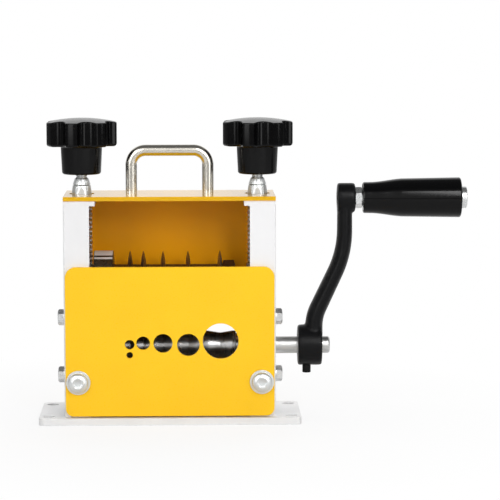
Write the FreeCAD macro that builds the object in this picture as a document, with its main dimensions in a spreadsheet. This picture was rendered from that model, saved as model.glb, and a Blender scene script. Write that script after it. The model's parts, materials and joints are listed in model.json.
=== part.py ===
"""Hand crank wire stripper, as a parametric document.

Frame: millimetres, +Z up, +X towards the crank, -Y towards the user.
The origin is the centre of the base plate's bottom face.

A wire goes in through a hole of the front guide plate, between the grooved
feed roller below and a disc blade above, and out through the back of the cover.
Two star knobs raise and lower the blade carriage in the side channels.
"""
import FreeCAD, Part
import math
import os
import re
import Sketcher
from FreeCAD import Placement, Rotation, Vector

SIZES = {
    # base plate
    "base_length": 184, "base_width": 68, "base_height": 5, "base_corner": 4,
    "mount_span_x": 170, "mount_span_y": 50, "mount_hole_d": 8.5,
    # side channels and their caps
    "body_width": 148, "channel_depth": 56, "channel_face": 18, "channel_wall": 4,
    "channel_top": 153.5, "channel_round": 1, "cap_height": 3.5, "cap_length": 22,
    # sheet metal: cover and front guide plate
    "sheet": 3, "cover_front_lip": 1, "cover_gap": 1, "cover_bend": 4, "cover_bend_inside": 1,
    "guide_width": 146, "guide_bottom": 6, "guide_top": 111,
    "guide_top_round": 7.5, "guide_low_round": 5.5,
    # lines of the mechanism
    "crank_z": 51.5, "blade_z": 94, "stud_x": 62,
    # the wire guide holes and the blades behind them
    "way_a_x": -28.2, "way_b_x": -18.8, "way_c_x": -4.9, "way_d_x": 12.8, "way_e_x": 35.4,
    "way_a_z": 56.6, "way_b_z": 57.6, "way_c_z": 57.4, "way_d_z": 56.2, "way_e_z": 58.8,
    "way_a_d": 6.7, "way_b_d": 9.5, "way_c_d": 13.3, "way_d_d": 15.7, "way_e_d": 25,
    "small_way_z": 49.2, "small_way_d": 4.5, "exit_extra": 0.4,
    # lower bearing blocks
    "block_inner_x": 54.5, "low_block_top": 76.5,
    "crank_bush_d": 18, "blade_bush_d": 14,
    # sliding blocks
    "slide_gap": 0.2, "slide_bottom": 84.3, "slide_top": 105.5,
    "pocket_d": 12, "pocket_deep": 3.3,
    "retainer_height": 3, "retainer_width": 32, "retainer_screw_y": 12,
    # crank shaft and feed roller
    "crank_shaft_d": 12, "shaft_tail_x": 68.5, "shaft_nose_x": 113.3, "shaft_chamfer": 1,
    "roller_d": 20.6, "roller_left_x": -38.5, "roller_right_x": 46.5, "groove_deep": 1.3,
    "roller_collar_d": 17, "collar_end_x": 54.2,
    "roller_pin_d": 3, "roller_pin_x": 23.5, "roller_pin_length": 19.6,
    # blade shaft
    "blade_journal_d": 10, "blade_seat_d": 22, "blade_step_d": 14,
    "shoulder_left_x": 53.6, "shoulder_right_x": 39.8, "shoulder_d": 50.6,
    "shoulder_chamfer": 0.6,
    "seat_end_x": 46.9,
    "blade_d": 50, "blade_thick": 3.5, "blade_flat_d": 32, "blade_edge": 0.3, "spacer_d": 31,
    "lock_nut_across": 32, "lock_nut_height": 9,
    # adjusting studs, nuts, springs and knobs
    "stud_d": 8, "neck_d": 6, "collar_d": 11, "collar_height": 3.1, "end_gap": 0.1,
    "stud_top": 199, "nut_across": 13, "cap_nut_height": 9.3, "stop_nut_height": 4.8,
    "nut_hole_d": 18, "stud_hole_d": 9,
    "spring_d": 15, "spring_wire_d": 1.5, "spring_pitch": 3.2,
    "knob_bottom": 174, "knob_cavity_d": 19, "knob_cavity_top": 180.5, "hub_low_d": 27.4,
    "hub_top_d": 29, "head_bottom": 193.7, "head_top": 210.6, "head_d": 50, "dome_z": 213.5,
    "lobes": 7, "scallop_d": 14.8, "scallop_centre": 27.7, "knob_round": 2.2,
    "left_knob_turn": 24.6, "right_knob_turn": 22.1,
    # pull handle
    "pull_rod_d": 8, "pull_span": 54, "pull_top": 194.5, "pull_bend": 10, "pull_tap_deep": 14,
    # crank
    "crank_radius": 105, "hub_left_x": 91, "hub_width": 16.2, "hub_d": 28,
    "arm_low_x": 102.2, "arm_high_x": 123.9, "arm_thick": 11.8, "arm_top_thick": 9.6,
    "arm_wide": 19, "arm_top_wide": 17, "arm_low_bend": 30.5, "arm_high_bend": 70,
    "arm_slope": 25.3, "arm_rise": 13.4,
    "arm_top": 153, "boss_left_x": 119, "boss_width": 11.9, "boss_d": 20,
    "set_screw_d": 6, "set_screw_x": 97, "set_screw_length": 13.8,
    # handle
    "spindle_d": 10, "spindle_thread_d": 8, "spindle_start_x": 119.5, "jam_nut_height": 5.5,
    "grip_left_x": 136.6, "grip_right_x": 206.1, "grip_small_d": 22, "grip_flare_d": 27,
    "grip_flare_x": 164, "grip_large_d": 28.4, "grip_round": 2.5,
    "spindle_head_d": 15.4, "spindle_head_length": 4, "spindle_socket_d": 6.9,
    # fasteners
    "side_bolt_pitch": 20.5, "side_bolt_d": 6, "side_bolt_length": 18, "side_head_across": 10,
    "side_head_height": 4, "side_washer_d": 12, "washer_height": 1.6,
    "front_bolt_x": 64.2, "front_bolt_z": 30, "front_bolt_d": 8, "front_bolt_length": 20,
    "front_head_d": 14, "front_head_height": 4.4, "front_crown_d": 8.5, "front_socket_d": 5.8,
    "front_socket_deep": 2.6, "front_washer_d": 17,
    "base_screw_y": 14, "base_screw_d": 6, "base_screw_length": 18, "base_head_d": 11.4,
    "cap_screw_y": 16, "cap_screw_inset": 2.4, "cap_screw_d": 2.5, "cap_head_d": 4.2,
    "cap_screw_length": 11,
    "retainer_screw_d": 3, "retainer_head_d": 5.6, "retainer_screw_length": 10,
    "rear_screw_x": 64, "rear_low_z": 30, "rear_high_z": 130, "rear_screw_d": 4,
    "rear_head_d": 8, "rear_head_height": 2.6, "rear_screw_length": 6.8,
    "pull_screw_d": 5, "pull_head_d": 9.2, "pull_screw_length": 16,
    # clearances, on the radius
    "fixed_fit": 0.02, "running_fit": 0.06, "hole_room": 0.3,
}

WAYS = ("a", "b", "c", "d", "e")
SIDES = {"left": "-1", "right": "1"}
FACING = {
    "up": Rotation(),
    "down": Rotation(Vector(1, 0, 0), 180),
    "right": Rotation(Vector(0, 1, 0), 90),
    "left": Rotation(Vector(0, 1, 0), -90),
    "front": Rotation(Vector(1, 0, 0), 90),
    "back": Rotation(Vector(1, 0, 0), -90),
}

doc = FreeCAD.newDocument("hand_crank_wire_stripper")
sheet = doc.addObject("Spreadsheet::Sheet", "dims")
for row, (alias, size) in enumerate(SIZES.items(), start=1):
    sheet.set(f"A{row}", alias)
    sheet.set(f"B{row}", str(size))
    sheet.setAlias(f"B{row}", alias)
doc.recompute()

nodes = {}


# ---------------------------------------------------------------- formulas and places

def formula(text):
    """A formula on the sheet's names, written the way the document's expressions want it."""
    return re.sub(r"[a-z]\w*", lambda word: "dims." * (word.group() in SIZES) + word.group(), text)


def number(text):
    """The present value of a formula."""
    return float(sheet.evalExpression(formula(text)))


def bind(item, prop, text):
    """Tie a property to a formula."""
    item.setExpression(prop, formula(text))


def place(item, at, facing="up"):
    """Turn an item from its own Z axis to a direction, and tie its place to three formulas."""
    item.Placement = Placement(Vector(), FACING[facing])
    for axis, text in zip("xyz", at):
        bind(item, f"Placement.Base.{axis}", text)


def keep(item):
    """Count an item as one of the object's nodes."""
    nodes[item.Label] = item
    return item


# ---------------------------------------------------------------- sketches

def origin_part(body, role):
    """A body's own origin plane or axis."""
    return next(part for part in body.Origin.OriginFeatures if part.Role == role)


def new_sketch(body, name, plane, start):
    """An empty sketch on one of the body's origin planes, moved along the plane's normal."""
    sketch = body.newObject("Sketcher::SketchObject", name)
    sketch.AttachmentSupport = [(origin_part(body, plane), "")]
    sketch.MapMode = "FlatFace"
    bind(sketch, "AttachmentOffset.Base.z", start)
    return sketch


def hold_point(sketch, edge, end, point):
    """Hold a sketch point at two distances from the sketch's origin."""
    for kind, text in zip(("DistanceX", "DistanceY"), point):
        rule = sketch.addConstraint(Sketcher.Constraint(kind, -1, 1, edge, end, number(text)))
        bind(sketch, f"Constraints[{rule}]", text)


def outline(body, name, plane, points, start="0"):
    """A sketch of one closed polygon."""
    sketch = new_sketch(body, name, plane, start)
    spots = [Vector(number(u), number(v), 0) for u, v in points]
    count = len(points)
    for index in range(count):
        sketch.addGeometry(Part.LineSegment(spots[index], spots[(index + 1) % count]), False)
    for index in range(count):
        sketch.addConstraint(Sketcher.Constraint("Coincident", index, 2, (index + 1) % count, 1))
    for index, point in enumerate(points):
        hold_point(sketch, index, 1, point)
    return sketch


def circles(body, name, plane, rounds, start="0"):
    """A sketch of circles, each given as two coordinates and a diameter."""
    sketch = new_sketch(body, name, plane, start)
    for u, v, diameter in rounds:
        centre = Vector(number(u), number(v), 0)
        edge = sketch.addGeometry(Part.Circle(centre, Vector(0, 0, 1), number(diameter) / 2), False)
        hold_point(sketch, edge, 3, (u, v))
        rule = sketch.addConstraint(Sketcher.Constraint("Diameter", edge, number(diameter)))
        bind(sketch, f"Constraints[{rule}]", diameter)
    return sketch


def rectangle(u_low, u_high, v_low, v_high):
    """The corners of a rectangle, for outline."""
    return [(u_low, v_low), (u_high, v_low), (u_high, v_high), (u_low, v_high)]


# ---------------------------------------------------------------- PartDesign features

def new_body(label):
    """An empty body."""
    return doc.addObject("PartDesign::Body", label)


def feature_name(body, kind):
    """A fresh name for a body's next feature."""
    return f"{body.Label}_{kind}_{len(body.Group)}"


def pad(body, sketch, length):
    """Raise a sketch along its normal."""
    feature = body.newObject("PartDesign::Pad", feature_name(body, "pad"))
    feature.Profile = sketch
    bind(feature, "Length", length)
    doc.recompute()
    if not feature.isValid():
        raise RuntimeError(f"{feature.Label} adds nothing")
    return feature


def pocket(body, sketch, depth=None, forward=False):
    """Cut a sketch out of a body: both ways right through, or one way to a depth."""
    before = body.Shape.Volume
    feature = body.newObject("PartDesign::Pocket", feature_name(body, "pocket"))
    feature.Profile = sketch
    feature.Reversed = forward
    if depth is None:
        feature.Type = "ThroughAll"
        feature.SideType = "Symmetric"
    elif depth == "through":
        feature.Type = "ThroughAll"
    else:
        bind(feature, "Length", depth)
    doc.recompute()
    if body.Shape.Volume >= before:
        raise RuntimeError(f"{feature.Label} cuts nothing")
    return feature


def drill(body, plane, rounds, start="0", depth=None, forward=False):
    """Cut round holes, each given as two coordinates and a diameter."""
    sketch = circles(body, feature_name(body, "holes"), plane, rounds, start)
    return pocket(body, sketch, depth, forward)


def dress(body, kind, size, wanted):
    """Fillet or Chamfer the edges of a body that answer to a test."""
    base = body.Tip
    names = [f"Edge{index}" for index, edge in enumerate(base.Shape.Edges, start=1) if wanted(edge)]
    if not names:
        raise RuntimeError(f"{body.Label} has no edge to {kind}")
    feature = body.newObject(f"PartDesign::{kind}", feature_name(body, kind.lower()))
    feature.Base = (base, names)
    bind(feature, "Radius" if kind == "Fillet" else "Size", size)
    doc.recompute()
    return feature


def plate(label, plane, points, start, length):
    """A body padded from one polygon."""
    body = new_body(label)
    pad(body, outline(body, f"{label}_outline", plane, points, start), length)
    return body


def turned(label, points, at=("0", "0", "0"), facing="up"):
    """A lathe part: a closed outline of (radius, height) points, revolved about its own Z axis."""
    body = new_body(label)
    feature = body.newObject("PartDesign::Revolution", f"{label}_turn")
    feature.Profile = outline(body, f"{label}_profile", "XZ_Plane", points)
    feature.ReferenceAxis = (origin_part(body, "Z_Axis"), [""])
    feature.Angle = 360
    place(body, at, facing)
    doc.recompute()
    return body


def ring(label, outer_d, inner_d, length, at, facing="up"):
    """A plain turned ring, such as a washer, bush or spacer."""
    outer, inner = f"({outer_d}) / 2", f"({inner_d}) / 2"
    return turned(label, rectangle(inner, outer, "0", length), at, facing)


# ---------------------------------------------------------------- Part primitives

def cylinder(label, diameter, length, at, facing="up"):
    """A plain cylinder."""
    item = doc.addObject("Part::Cylinder", label)
    bind(item, "Radius", f"({diameter}) / 2")
    bind(item, "Height", length)
    place(item, at, facing)
    return item


def hexagon(label, across, length, at, facing="up"):
    """A hexagonal prism, given by its width across flats."""
    item = doc.addObject("Part::Prism", label)
    item.Polygon = 6
    bind(item, "Circumradius", f"({across}) / sqrt(3)")
    bind(item, "Height", length)
    place(item, at, facing)
    return item


def fuse(label, items):
    """One solid made of several."""
    item = doc.addObject("Part::MultiFuse", label)
    item.Shapes = items
    return item


def cut(label, base, tool):
    """One item less another."""
    item = doc.addObject("Part::Cut", label)
    item.Base = base
    item.Tool = tool
    return item


def group(label, items):
    """Separate solids that share one node."""
    item = doc.addObject("Part::Compound", label)
    item.Links = items
    return item


def hex_nut(label, across, height, bore_d, at, facing="up"):
    """A hexagon nut with a plain bore at the thread's outer diameter."""
    return cut(label, hexagon(f"{label}_hexagon", across, height, at, facing),
               cylinder(f"{label}_bore", bore_d, height, at, facing))


def countersunk(label, screw_d, head_d, length, at, facing):
    """A flat-head screw that points the way it faces, with its head at its start."""
    points = [("0", "0"), (f"{head_d} / 2", "0"),
              (f"{screw_d} / 2", f"({head_d} - {screw_d}) / 2"),
              (f"{screw_d} / 2", length), ("0", length)]
    return turned(label, points, at, facing)


# ---------------------------------------------------------------- edge tests

def is_along(edge, axis):
    """Whether an edge is straight and runs along an axis."""
    if edge.Curve.TypeId != "Part::GeomLine":
        return False
    return abs(abs(edge.Curve.Direction.dot(axis)) - 1) < 1e-6


def is_circle_at(edge, axis_name, level, diameter):
    """Whether an edge is a full circle of one diameter at one level."""
    if edge.Curve.TypeId != "Part::GeomCircle":
        return False
    centre = getattr(edge.Curve.Center, axis_name)
    return abs(centre - number(level)) < 1e-4 and abs(edge.Curve.Radius * 2 - number(diameter)) < 1e-4


def edge_middle(edge):
    """The middle of an edge."""
    return edge.valueAt((edge.FirstParameter + edge.LastParameter) / 2)


# ---------------------------------------------------------------- frame

def make_base_plate():
    """Flat plate with four mounting holes and four countersunk holes for the block screws."""
    body = plate("base_plate", "XY_Plane",
                 rectangle("-base_length / 2", "base_length / 2", "-base_width / 2", "base_width / 2"),
                 "0", "base_height")
    dress(body, "Fillet", "base_corner", lambda edge: is_along(edge, Vector(0, 0, 1)))
    screw_hole = "base_screw_d + 2 * hole_room"
    mounts = []
    screws = []
    for side in SIDES.values():
        for end in SIDES.values():
            mounts.append((f"{side} * mount_span_x / 2", f"{end} * mount_span_y / 2", "mount_hole_d"))
            screws.append((f"{side} * stud_x", f"{end} * base_screw_y", screw_hole))
    drill(body, "XY_Plane", mounts)
    drill(body, "XY_Plane", screws)
    dress(body, "Chamfer", f"(base_head_d - base_screw_d) / 2",
          lambda edge: is_circle_at(edge, "z", "0", screw_hole))
    keep(body)


def make_base_screws():
    """Countersunk screws from below the base plate into the lower bearing blocks."""
    screws = []
    for name, side in SIDES.items():
        for row, end in enumerate(SIDES.values(), start=1):
            at = (f"{side} * stud_x", f"{end} * base_screw_y", "2 * end_gap")
            screws.append(countersunk(f"base_screw_{name}_{row}", "base_screw_d", "base_head_d",
                                      "base_screw_length", at, "up"))
    keep(group("base_screws", screws))


def make_side_channel(name, side):
    """Upright channel, open towards the middle, in which the sliding block travels."""
    outer, inner = "body_width / 2", "(body_width / 2 - channel_face)"
    front, web = "channel_depth / 2", "(body_width / 2 - channel_wall)"
    lip = "(channel_depth / 2 - channel_wall)"
    section = [(outer, f"-{front}"), (outer, front), (inner, front), (inner, lip),
               (web, lip), (web, f"-{lip}"), (inner, f"-{lip}"), (inner, f"-{front}")]
    body = plate(f"{name}_side_channel", "XY_Plane", [(f"{side} * {x}", y) for x, y in section],
                 "base_height", "channel_top - base_height")
    corner_x = number(f"{side} * {outer}")
    dress(body, "Fillet", "channel_round",
          lambda edge: is_along(edge, Vector(0, 0, 1)) and abs(edge_middle(edge).x - corner_x) < 1e-4)
    holes = [("0", f"crank_z + {end} * side_bolt_pitch", "side_bolt_d + 2 * hole_room")
             for end in SIDES.values()]
    if name == "right":
        holes.append(("0", "crank_z", "crank_shaft_d + 4 * hole_room"))
    drill(body, "YZ_Plane", holes)
    front_hole = (f"{side} * front_bolt_x", "front_bolt_z", "front_bolt_d + 2 * hole_room")
    drill(body, "XZ_Plane", [front_hole], depth="through", forward=True)
    rear_holes = [(f"{side} * rear_screw_x", level, "rear_screw_d + 2 * fixed_fit")
                  for level in ("rear_low_z", "rear_high_z")]
    drill(body, "XZ_Plane", rear_holes, depth="through")
    top_holes = [(f"{side} * (body_width / 2 - cap_screw_inset)", f"{end} * cap_screw_y",
                  "cap_screw_d + 2 * fixed_fit") for end in SIDES.values()]
    drill(body, "XY_Plane", top_holes, start="channel_top", depth="cap_screw_length")
    keep(body)


def make_cap_plate(name, side):
    """Plate that closes a channel's top and carries the adjusting stud's nut."""
    outer = f"{side} * body_width / 2"
    inner = f"{side} * (body_width / 2 - cap_length)"
    body = plate(f"{name}_cap_plate", "XY_Plane",
                 rectangle(inner, outer, "-channel_depth / 2",
                           "channel_depth / 2 - cover_bend_inside"),
                 "channel_top", "cap_height")
    drill(body, "XY_Plane", [(f"{side} * stud_x", "0", "stud_hole_d")])
    screw_hole = "cap_screw_d + hole_room"
    drill(body, "XY_Plane", [(f"{side} * (body_width / 2 - cap_screw_inset)",
                              f"{end} * cap_screw_y", screw_hole) for end in SIDES.values()])
    dress(body, "Chamfer", "(cap_head_d - cap_screw_d) / 2",
          lambda edge: is_circle_at(edge, "z", "channel_top + cap_height", screw_hole))
    keep(body)


def make_cap_screws():
    """Countersunk screws that hold the cap plates down."""
    screws = []
    for name, side in SIDES.items():
        for row, end in enumerate(SIDES.values(), start=1):
            at = (f"{side} * (body_width / 2 - cap_screw_inset)", f"{end} * cap_screw_y",
                  "channel_top + cap_height - end_gap")
            screws.append(countersunk(f"cap_screw_{name}_{row}", "cap_screw_d", "cap_head_d",
                                      "cap_screw_length", at, "down"))
    keep(group("cap_screws", screws))


def way_holes(extra):
    """The six wire holes of a plate, wider by a formula than the front's own."""
    holes = [(f"way_{way}_x", f"way_{way}_z", f"way_{way}_d + {extra}") for way in WAYS]
    holes.append(("way_a_x", "small_way_z", f"small_way_d + {extra}"))
    return holes


def make_top_cover():
    """Sheet bent once: the top, and the back panel with the exit holes."""
    front, back = "-(channel_depth / 2 + cover_front_lip)", "(channel_depth / 2)"
    under, low = "(channel_top + cap_height)", "(base_height + cover_gap)"
    profile = [(front, under), (back, under), (back, low), (f"{back} + sheet", low),
               (f"{back} + sheet", f"{under} + sheet"), (front, f"{under} + sheet")]
    body = plate("top_cover", "YZ_Plane", profile, "-body_width / 2", "body_width")
    outside = Vector(0, number(f"{back} + sheet"), number(f"{under} + sheet"))
    inside = Vector(0, number(back), number(under))
    for corner, size in ((outside, "cover_bend"), (inside, "cover_bend_inside")):
        dress(body, "Fillet", size, lambda edge: is_along(edge, Vector(1, 0, 0))
              and Vector(0, edge_middle(edge).y, edge_middle(edge).z).sub(corner).Length < 1e-4)
    drill(body, "XY_Plane", [(f"{side} * stud_x", "0", "nut_hole_d") for side in SIDES.values()])
    pull_hole = "pull_screw_d + hole_room"
    drill(body, "XY_Plane", [(f"{side} * pull_span / 2", "0", pull_hole) for side in SIDES.values()])
    drill(body, "XZ_Plane", way_holes("exit_extra"), depth="through")
    drill(body, "XZ_Plane", [(f"{side} * rear_screw_x", level, "rear_screw_d + 2 * hole_room")
                             for side in SIDES.values() for level in ("rear_low_z", "rear_high_z")],
          depth="through")
    dress(body, "Chamfer", "(pull_head_d - pull_screw_d) / 2",
          lambda edge: is_circle_at(edge, "z", under, pull_hole))
    keep(body)


def make_rear_screws():
    """Pan-head screws through the back panel into the channels' rear flanges."""
    screws = []
    for name, side in SIDES.items():
        for level in ("rear_low_z", "rear_high_z"):
            points = [("0", "-rear_head_height"), ("rear_head_d / 2 - rear_head_height / 3",
                      "-rear_head_height"), ("rear_head_d / 2", "-rear_head_height / 3"),
                      ("rear_head_d / 2", "0"), ("rear_screw_d / 2", "0"),
                      ("rear_screw_d / 2", "rear_screw_length"), ("0", "rear_screw_length")]
            at = (f"{side} * rear_screw_x", "channel_depth / 2 + sheet", level)
            screws.append(turned(f"rear_screw_{name}_{level}", points, at, "front"))
    keep(group("rear_cover_screws", screws))


def make_front_guide_plate():
    """Plate with rounded corners and the six guide holes, bolted over both channels."""
    half = "guide_width / 2"
    body = plate("front_guide_plate", "XZ_Plane",
                 rectangle(f"-{half}", half, "guide_bottom", "guide_top"),
                 "channel_depth / 2", "sheet")
    middle = number("(guide_bottom + guide_top) / 2")
    for size, above in (("guide_top_round", True), ("guide_low_round", False)):
        dress(body, "Fillet", size, lambda edge: is_along(edge, Vector(0, 1, 0))
              and (edge_middle(edge).z > middle) == above)
    drill(body, "XZ_Plane", way_holes("0"))
    drill(body, "XZ_Plane", [(f"{side} * front_bolt_x", "front_bolt_z",
                              "front_bolt_d + 2 * hole_room") for side in SIDES.values()])
    keep(body)


def make_front_bolts():
    """Button-head bolts and washers that hold the front guide plate."""
    face = "-(channel_depth / 2 + sheet)"
    bolts = []
    washers = []
    for name, side in SIDES.items():
        at = (f"{side} * front_bolt_x", f"{face} - washer_height", "front_bolt_z")
        points = [("0", "-front_head_height + front_socket_deep"),
                  ("front_socket_d / 2", "-front_head_height + front_socket_deep"),
                  ("front_socket_d / 2", "-front_head_height"),
                  ("front_crown_d / 2", "-front_head_height"),
                  ("front_head_d / 2", "-front_head_height / 3"), ("front_head_d / 2", "0"),
                  ("front_bolt_d / 2", "0"), ("front_bolt_d / 2", "front_bolt_length"),
                  ("0", "front_bolt_length")]
        bolts.append(turned(f"front_bolt_{name}", points, at, "back"))
        washers.append(ring(f"front_washer_{name}", "front_washer_d", "front_bolt_d + hole_room",
                            "washer_height", (at[0], face, at[2]), "front"))
    keep(group("front_plate_bolts", bolts))
    keep(group("front_plate_washers", washers))


def make_lower_block(name, side):
    """Fixed block at a channel's foot, which carries the crank shaft's bush."""
    inner, outer = f"{side} * block_inner_x", f"{side} * (body_width / 2 - channel_wall)"
    half = "(channel_depth / 2 - channel_wall)"
    body = plate(f"{name}_lower_block", "XY_Plane", rectangle(inner, outer, f"-{half}", half),
                 "base_height", "low_block_top - base_height")
    drill(body, "YZ_Plane", [("0", "crank_z", "crank_bush_d")])
    thread = "side_bolt_d + 2 * fixed_fit"
    bolt_end = "side_bolt_length - washer_height - channel_wall + hole_room"
    drill(body, "YZ_Plane", [("0", f"crank_z + {end} * side_bolt_pitch", thread)
                             for end in SIDES.values()],
          start=outer, depth=bolt_end, forward=name == "left")
    drill(body, "XZ_Plane", [(f"{side} * front_bolt_x", "front_bolt_z",
                              "front_bolt_d + 2 * fixed_fit")],
          start=half, depth="front_bolt_length - sheet - channel_wall")
    drill(body, "XY_Plane", [(f"{side} * stud_x", f"{end} * base_screw_y",
                              "base_screw_d + 2 * fixed_fit") for end in SIDES.values()],
          start="base_height", depth="base_screw_length", forward=True)
    keep(body)


def make_side_bolts():
    """Hexagon bolts and washers through the channel webs into the lower blocks."""
    bolts = []
    washers = []
    for name, side in SIDES.items():
        inward = {"left": "right", "right": "left"}[name]
        for row, end in enumerate(SIDES.values(), start=1):
            level = f"crank_z + {end} * side_bolt_pitch"
            seat = f"{side} * (body_width / 2 + washer_height)"
            shank = cylinder(f"side_shank_{name}_{row}", "side_bolt_d", "side_bolt_length",
                             (seat, "0", level), inward)
            head = hexagon(f"side_head_{name}_{row}", "side_head_across", "side_head_height",
                           (seat, "0", level), name)
            bolts.append(fuse(f"side_bolt_{name}_{row}", [shank, head]))
            washers.append(ring(f"side_washer_{name}_{row}", "side_washer_d",
                                "side_bolt_d + hole_room", "washer_height",
                                (f"{side} * body_width / 2", "0", level), name))
    keep(group("side_bolts", bolts))
    keep(group("side_bolt_washers", washers))


def make_crank_bushes():
    """Bronze bushes in the lower blocks."""
    bushes = []
    for name, side in SIDES.items():
        bushes.append(ring(f"crank_bush_{name}", "crank_bush_d - 2 * fixed_fit",
                           "crank_shaft_d + 2 * running_fit",
                           "body_width / 2 - channel_wall - block_inner_x",
                           (f"{side} * block_inner_x", "0", "crank_z"), name))
    keep(group("crank_shaft_bushes", bushes))


def make_cap_nuts():
    """The nuts that the adjusting studs turn in, and the thin stop nuts on top of them."""
    bore = "stud_d + 2 * running_fit"
    nuts = []
    stops = []
    for name, side in SIDES.items():
        low = "channel_top + cap_height"
        nuts.append(hex_nut(f"cap_nut_{name}", "nut_across", "cap_nut_height", bore,
                            (f"{side} * stud_x", "0", low)))
        stop = hex_nut(f"stop_nut_{name}", "nut_across", "stop_nut_height", bore,
                       ("0", "0", "0"))
        place(stop, (f"{side} * stud_x", "0", f"{low} + cap_nut_height"))
        stops.append(stop)
    keep(group("cap_nuts", nuts))
    keep(group("stop_nuts", stops))


# ---------------------------------------------------------------- pull handle

def make_pull_handle():
    """Bent rod on the cover, tapped from below for its two screws."""
    low = "channel_top + cap_height + sheet"
    bend_z = "pull_top - pull_rod_d / 2 - pull_bend"
    bar_x = "(pull_span / 2 - pull_bend)"
    rods = [cylinder("pull_bar", "pull_rod_d", f"2 * {bar_x}",
                     (f"-{bar_x}", "0", f"{bend_z} + pull_bend"), "right")]
    taps = []
    for name, side in SIDES.items():
        rods.append(cylinder(f"pull_leg_{name}", "pull_rod_d", f"{bend_z} - ({low})",
                             (f"{side} * pull_span / 2", "0", low)))
        bend = doc.addObject("Part::Torus", f"pull_bend_{name}")
        bind(bend, "Radius1", "pull_bend")
        bind(bend, "Radius2", "pull_rod_d / 2")
        bend.Angle3 = 90
        place(bend, (f"{side} * {bar_x}", "0", bend_z), "front")
        if name == "left":
            bend.Placement.Rotation = Rotation(Vector(0, 0, 1), 180).multiply(FACING["front"])
        rods.append(bend)
        taps.append(cylinder(f"pull_tap_{name}", "pull_screw_d + 2 * fixed_fit", "pull_tap_deep",
                             (f"{side} * pull_span / 2", "0", low)))
    keep(cut("pull_handle", fuse("pull_rod", rods), fuse("pull_taps", taps)))


def make_pull_screws():
    """Countersunk screws from under the cover into the pull handle's legs."""
    screws = []
    for name, side in SIDES.items():
        at = (f"{side} * pull_span / 2", "0", "channel_top + cap_height + end_gap")
        screws.append(countersunk(f"pull_screw_{name}", "pull_screw_d", "pull_head_d",
                                  "pull_screw_length", at, "up"))
    keep(group("pull_handle_screws", screws))


# ---------------------------------------------------------------- blade carriage

def make_sliding_block(name, side):
    """Block that travels in a channel and carries the blade shaft's bush."""
    inner = f"{side} * block_inner_x"
    outer = f"{side} * (body_width / 2 - channel_wall - slide_gap)"
    half = "(channel_depth / 2 - channel_wall - slide_gap)"
    body = plate(f"{name}_sliding_block", "XY_Plane", rectangle(inner, outer, f"-{half}", half),
                 "slide_bottom", "slide_top - slide_bottom")
    drill(body, "YZ_Plane", [("0", "blade_z", "blade_bush_d")])
    drill(body, "XY_Plane", [(f"{side} * stud_x", "0", "pocket_d")], start="slide_top",
          depth="pocket_deep")
    drill(body, "XY_Plane", [(f"{side} * stud_x", f"{end} * retainer_screw_y",
                              "retainer_screw_d + 2 * fixed_fit") for end in SIDES.values()],
          start="slide_top", depth="retainer_screw_length - retainer_height")
    keep(body)


def make_blade_bushes():
    """Bronze bushes in the sliding blocks."""
    bushes = []
    for name, side in SIDES.items():
        bushes.append(ring(f"blade_bush_{name}", "blade_bush_d - 2 * fixed_fit",
                           "blade_journal_d + 2 * running_fit",
                           "body_width / 2 - channel_wall - slide_gap - block_inner_x",
                           (f"{side} * block_inner_x", "0", "blade_z"), name))
    keep(group("blade_shaft_bushes", bushes))


def make_retainer_plate(name, side):
    """Slotted plate that keeps the stud's end collar in the sliding block's pocket."""
    inner = f"{side} * block_inner_x"
    outer = f"{side} * (2 * stud_x - block_inner_x)"
    body = plate(f"{name}_retainer_plate", "XY_Plane",
                 rectangle(inner, outer, "-retainer_width / 2", "retainer_width / 2"),
                 "slide_top", "retainer_height")
    slot = "neck_d / 2 + running_fit"
    drill(body, "XY_Plane", [(f"{side} * stud_x", "0", f"2 * ({slot})")])
    pocket(body, outline(body, f"{name}_retainer_slot", "XY_Plane",
                         rectangle(f"{side} * (block_inner_x - 1)", f"{side} * stud_x",
                                   f"-({slot})", slot)))
    screw_hole = "retainer_screw_d + hole_room"
    drill(body, "XY_Plane", [(f"{side} * stud_x", f"{end} * retainer_screw_y", screw_hole)
                             for end in SIDES.values()])
    dress(body, "Chamfer", "(retainer_head_d - retainer_screw_d) / 2",
          lambda edge: is_circle_at(edge, "z", "slide_top + retainer_height", screw_hole))
    keep(body)


def make_retainer_screws():
    """Countersunk screws that hold the retainer plates on the sliding blocks."""
    screws = []
    for name, side in SIDES.items():
        for row, end in enumerate(SIDES.values(), start=1):
            at = (f"{side} * stud_x", f"{end} * retainer_screw_y",
                  "slide_top + retainer_height - end_gap")
            screws.append(countersunk(f"retainer_screw_{name}_{row}", "retainer_screw_d",
                                      "retainer_head_d", "retainer_screw_length - 2 * end_gap",
                                      at, "down"))
    keep(group("retainer_screws", screws))


# ---------------------------------------------------------------- blade shaft and its stack

def make_blade_shaft():
    """Stepped shaft with a wide shoulder that the blade stack is clamped against."""
    seat, journal, step = "blade_seat_d / 2", "blade_journal_d / 2", "blade_step_d / 2"
    rim, rim_end = "shoulder_d / 2", "shoulder_d / 2 - shoulder_chamfer"
    points = [("0", "-shaft_tail_x"), (journal, "-shaft_tail_x"), (journal, "-collar_end_x"),
              (step, "-collar_end_x"), (step, "-shoulder_left_x"),
              (rim_end, "-shoulder_left_x"), (rim, "-shoulder_left_x + shoulder_chamfer"),
              (rim, "-shoulder_right_x - shoulder_chamfer"), (rim_end, "-shoulder_right_x"),
              (seat, "-shoulder_right_x"), (seat, "seat_end_x"), (step, "seat_end_x"),
              (step, "collar_end_x"), (journal, "collar_end_x"), (journal, "shaft_tail_x"),
              ("0", "shaft_tail_x")]
    keep(turned("blade_shaft", points, ("0", "0", "blade_z"), "right"))


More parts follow.
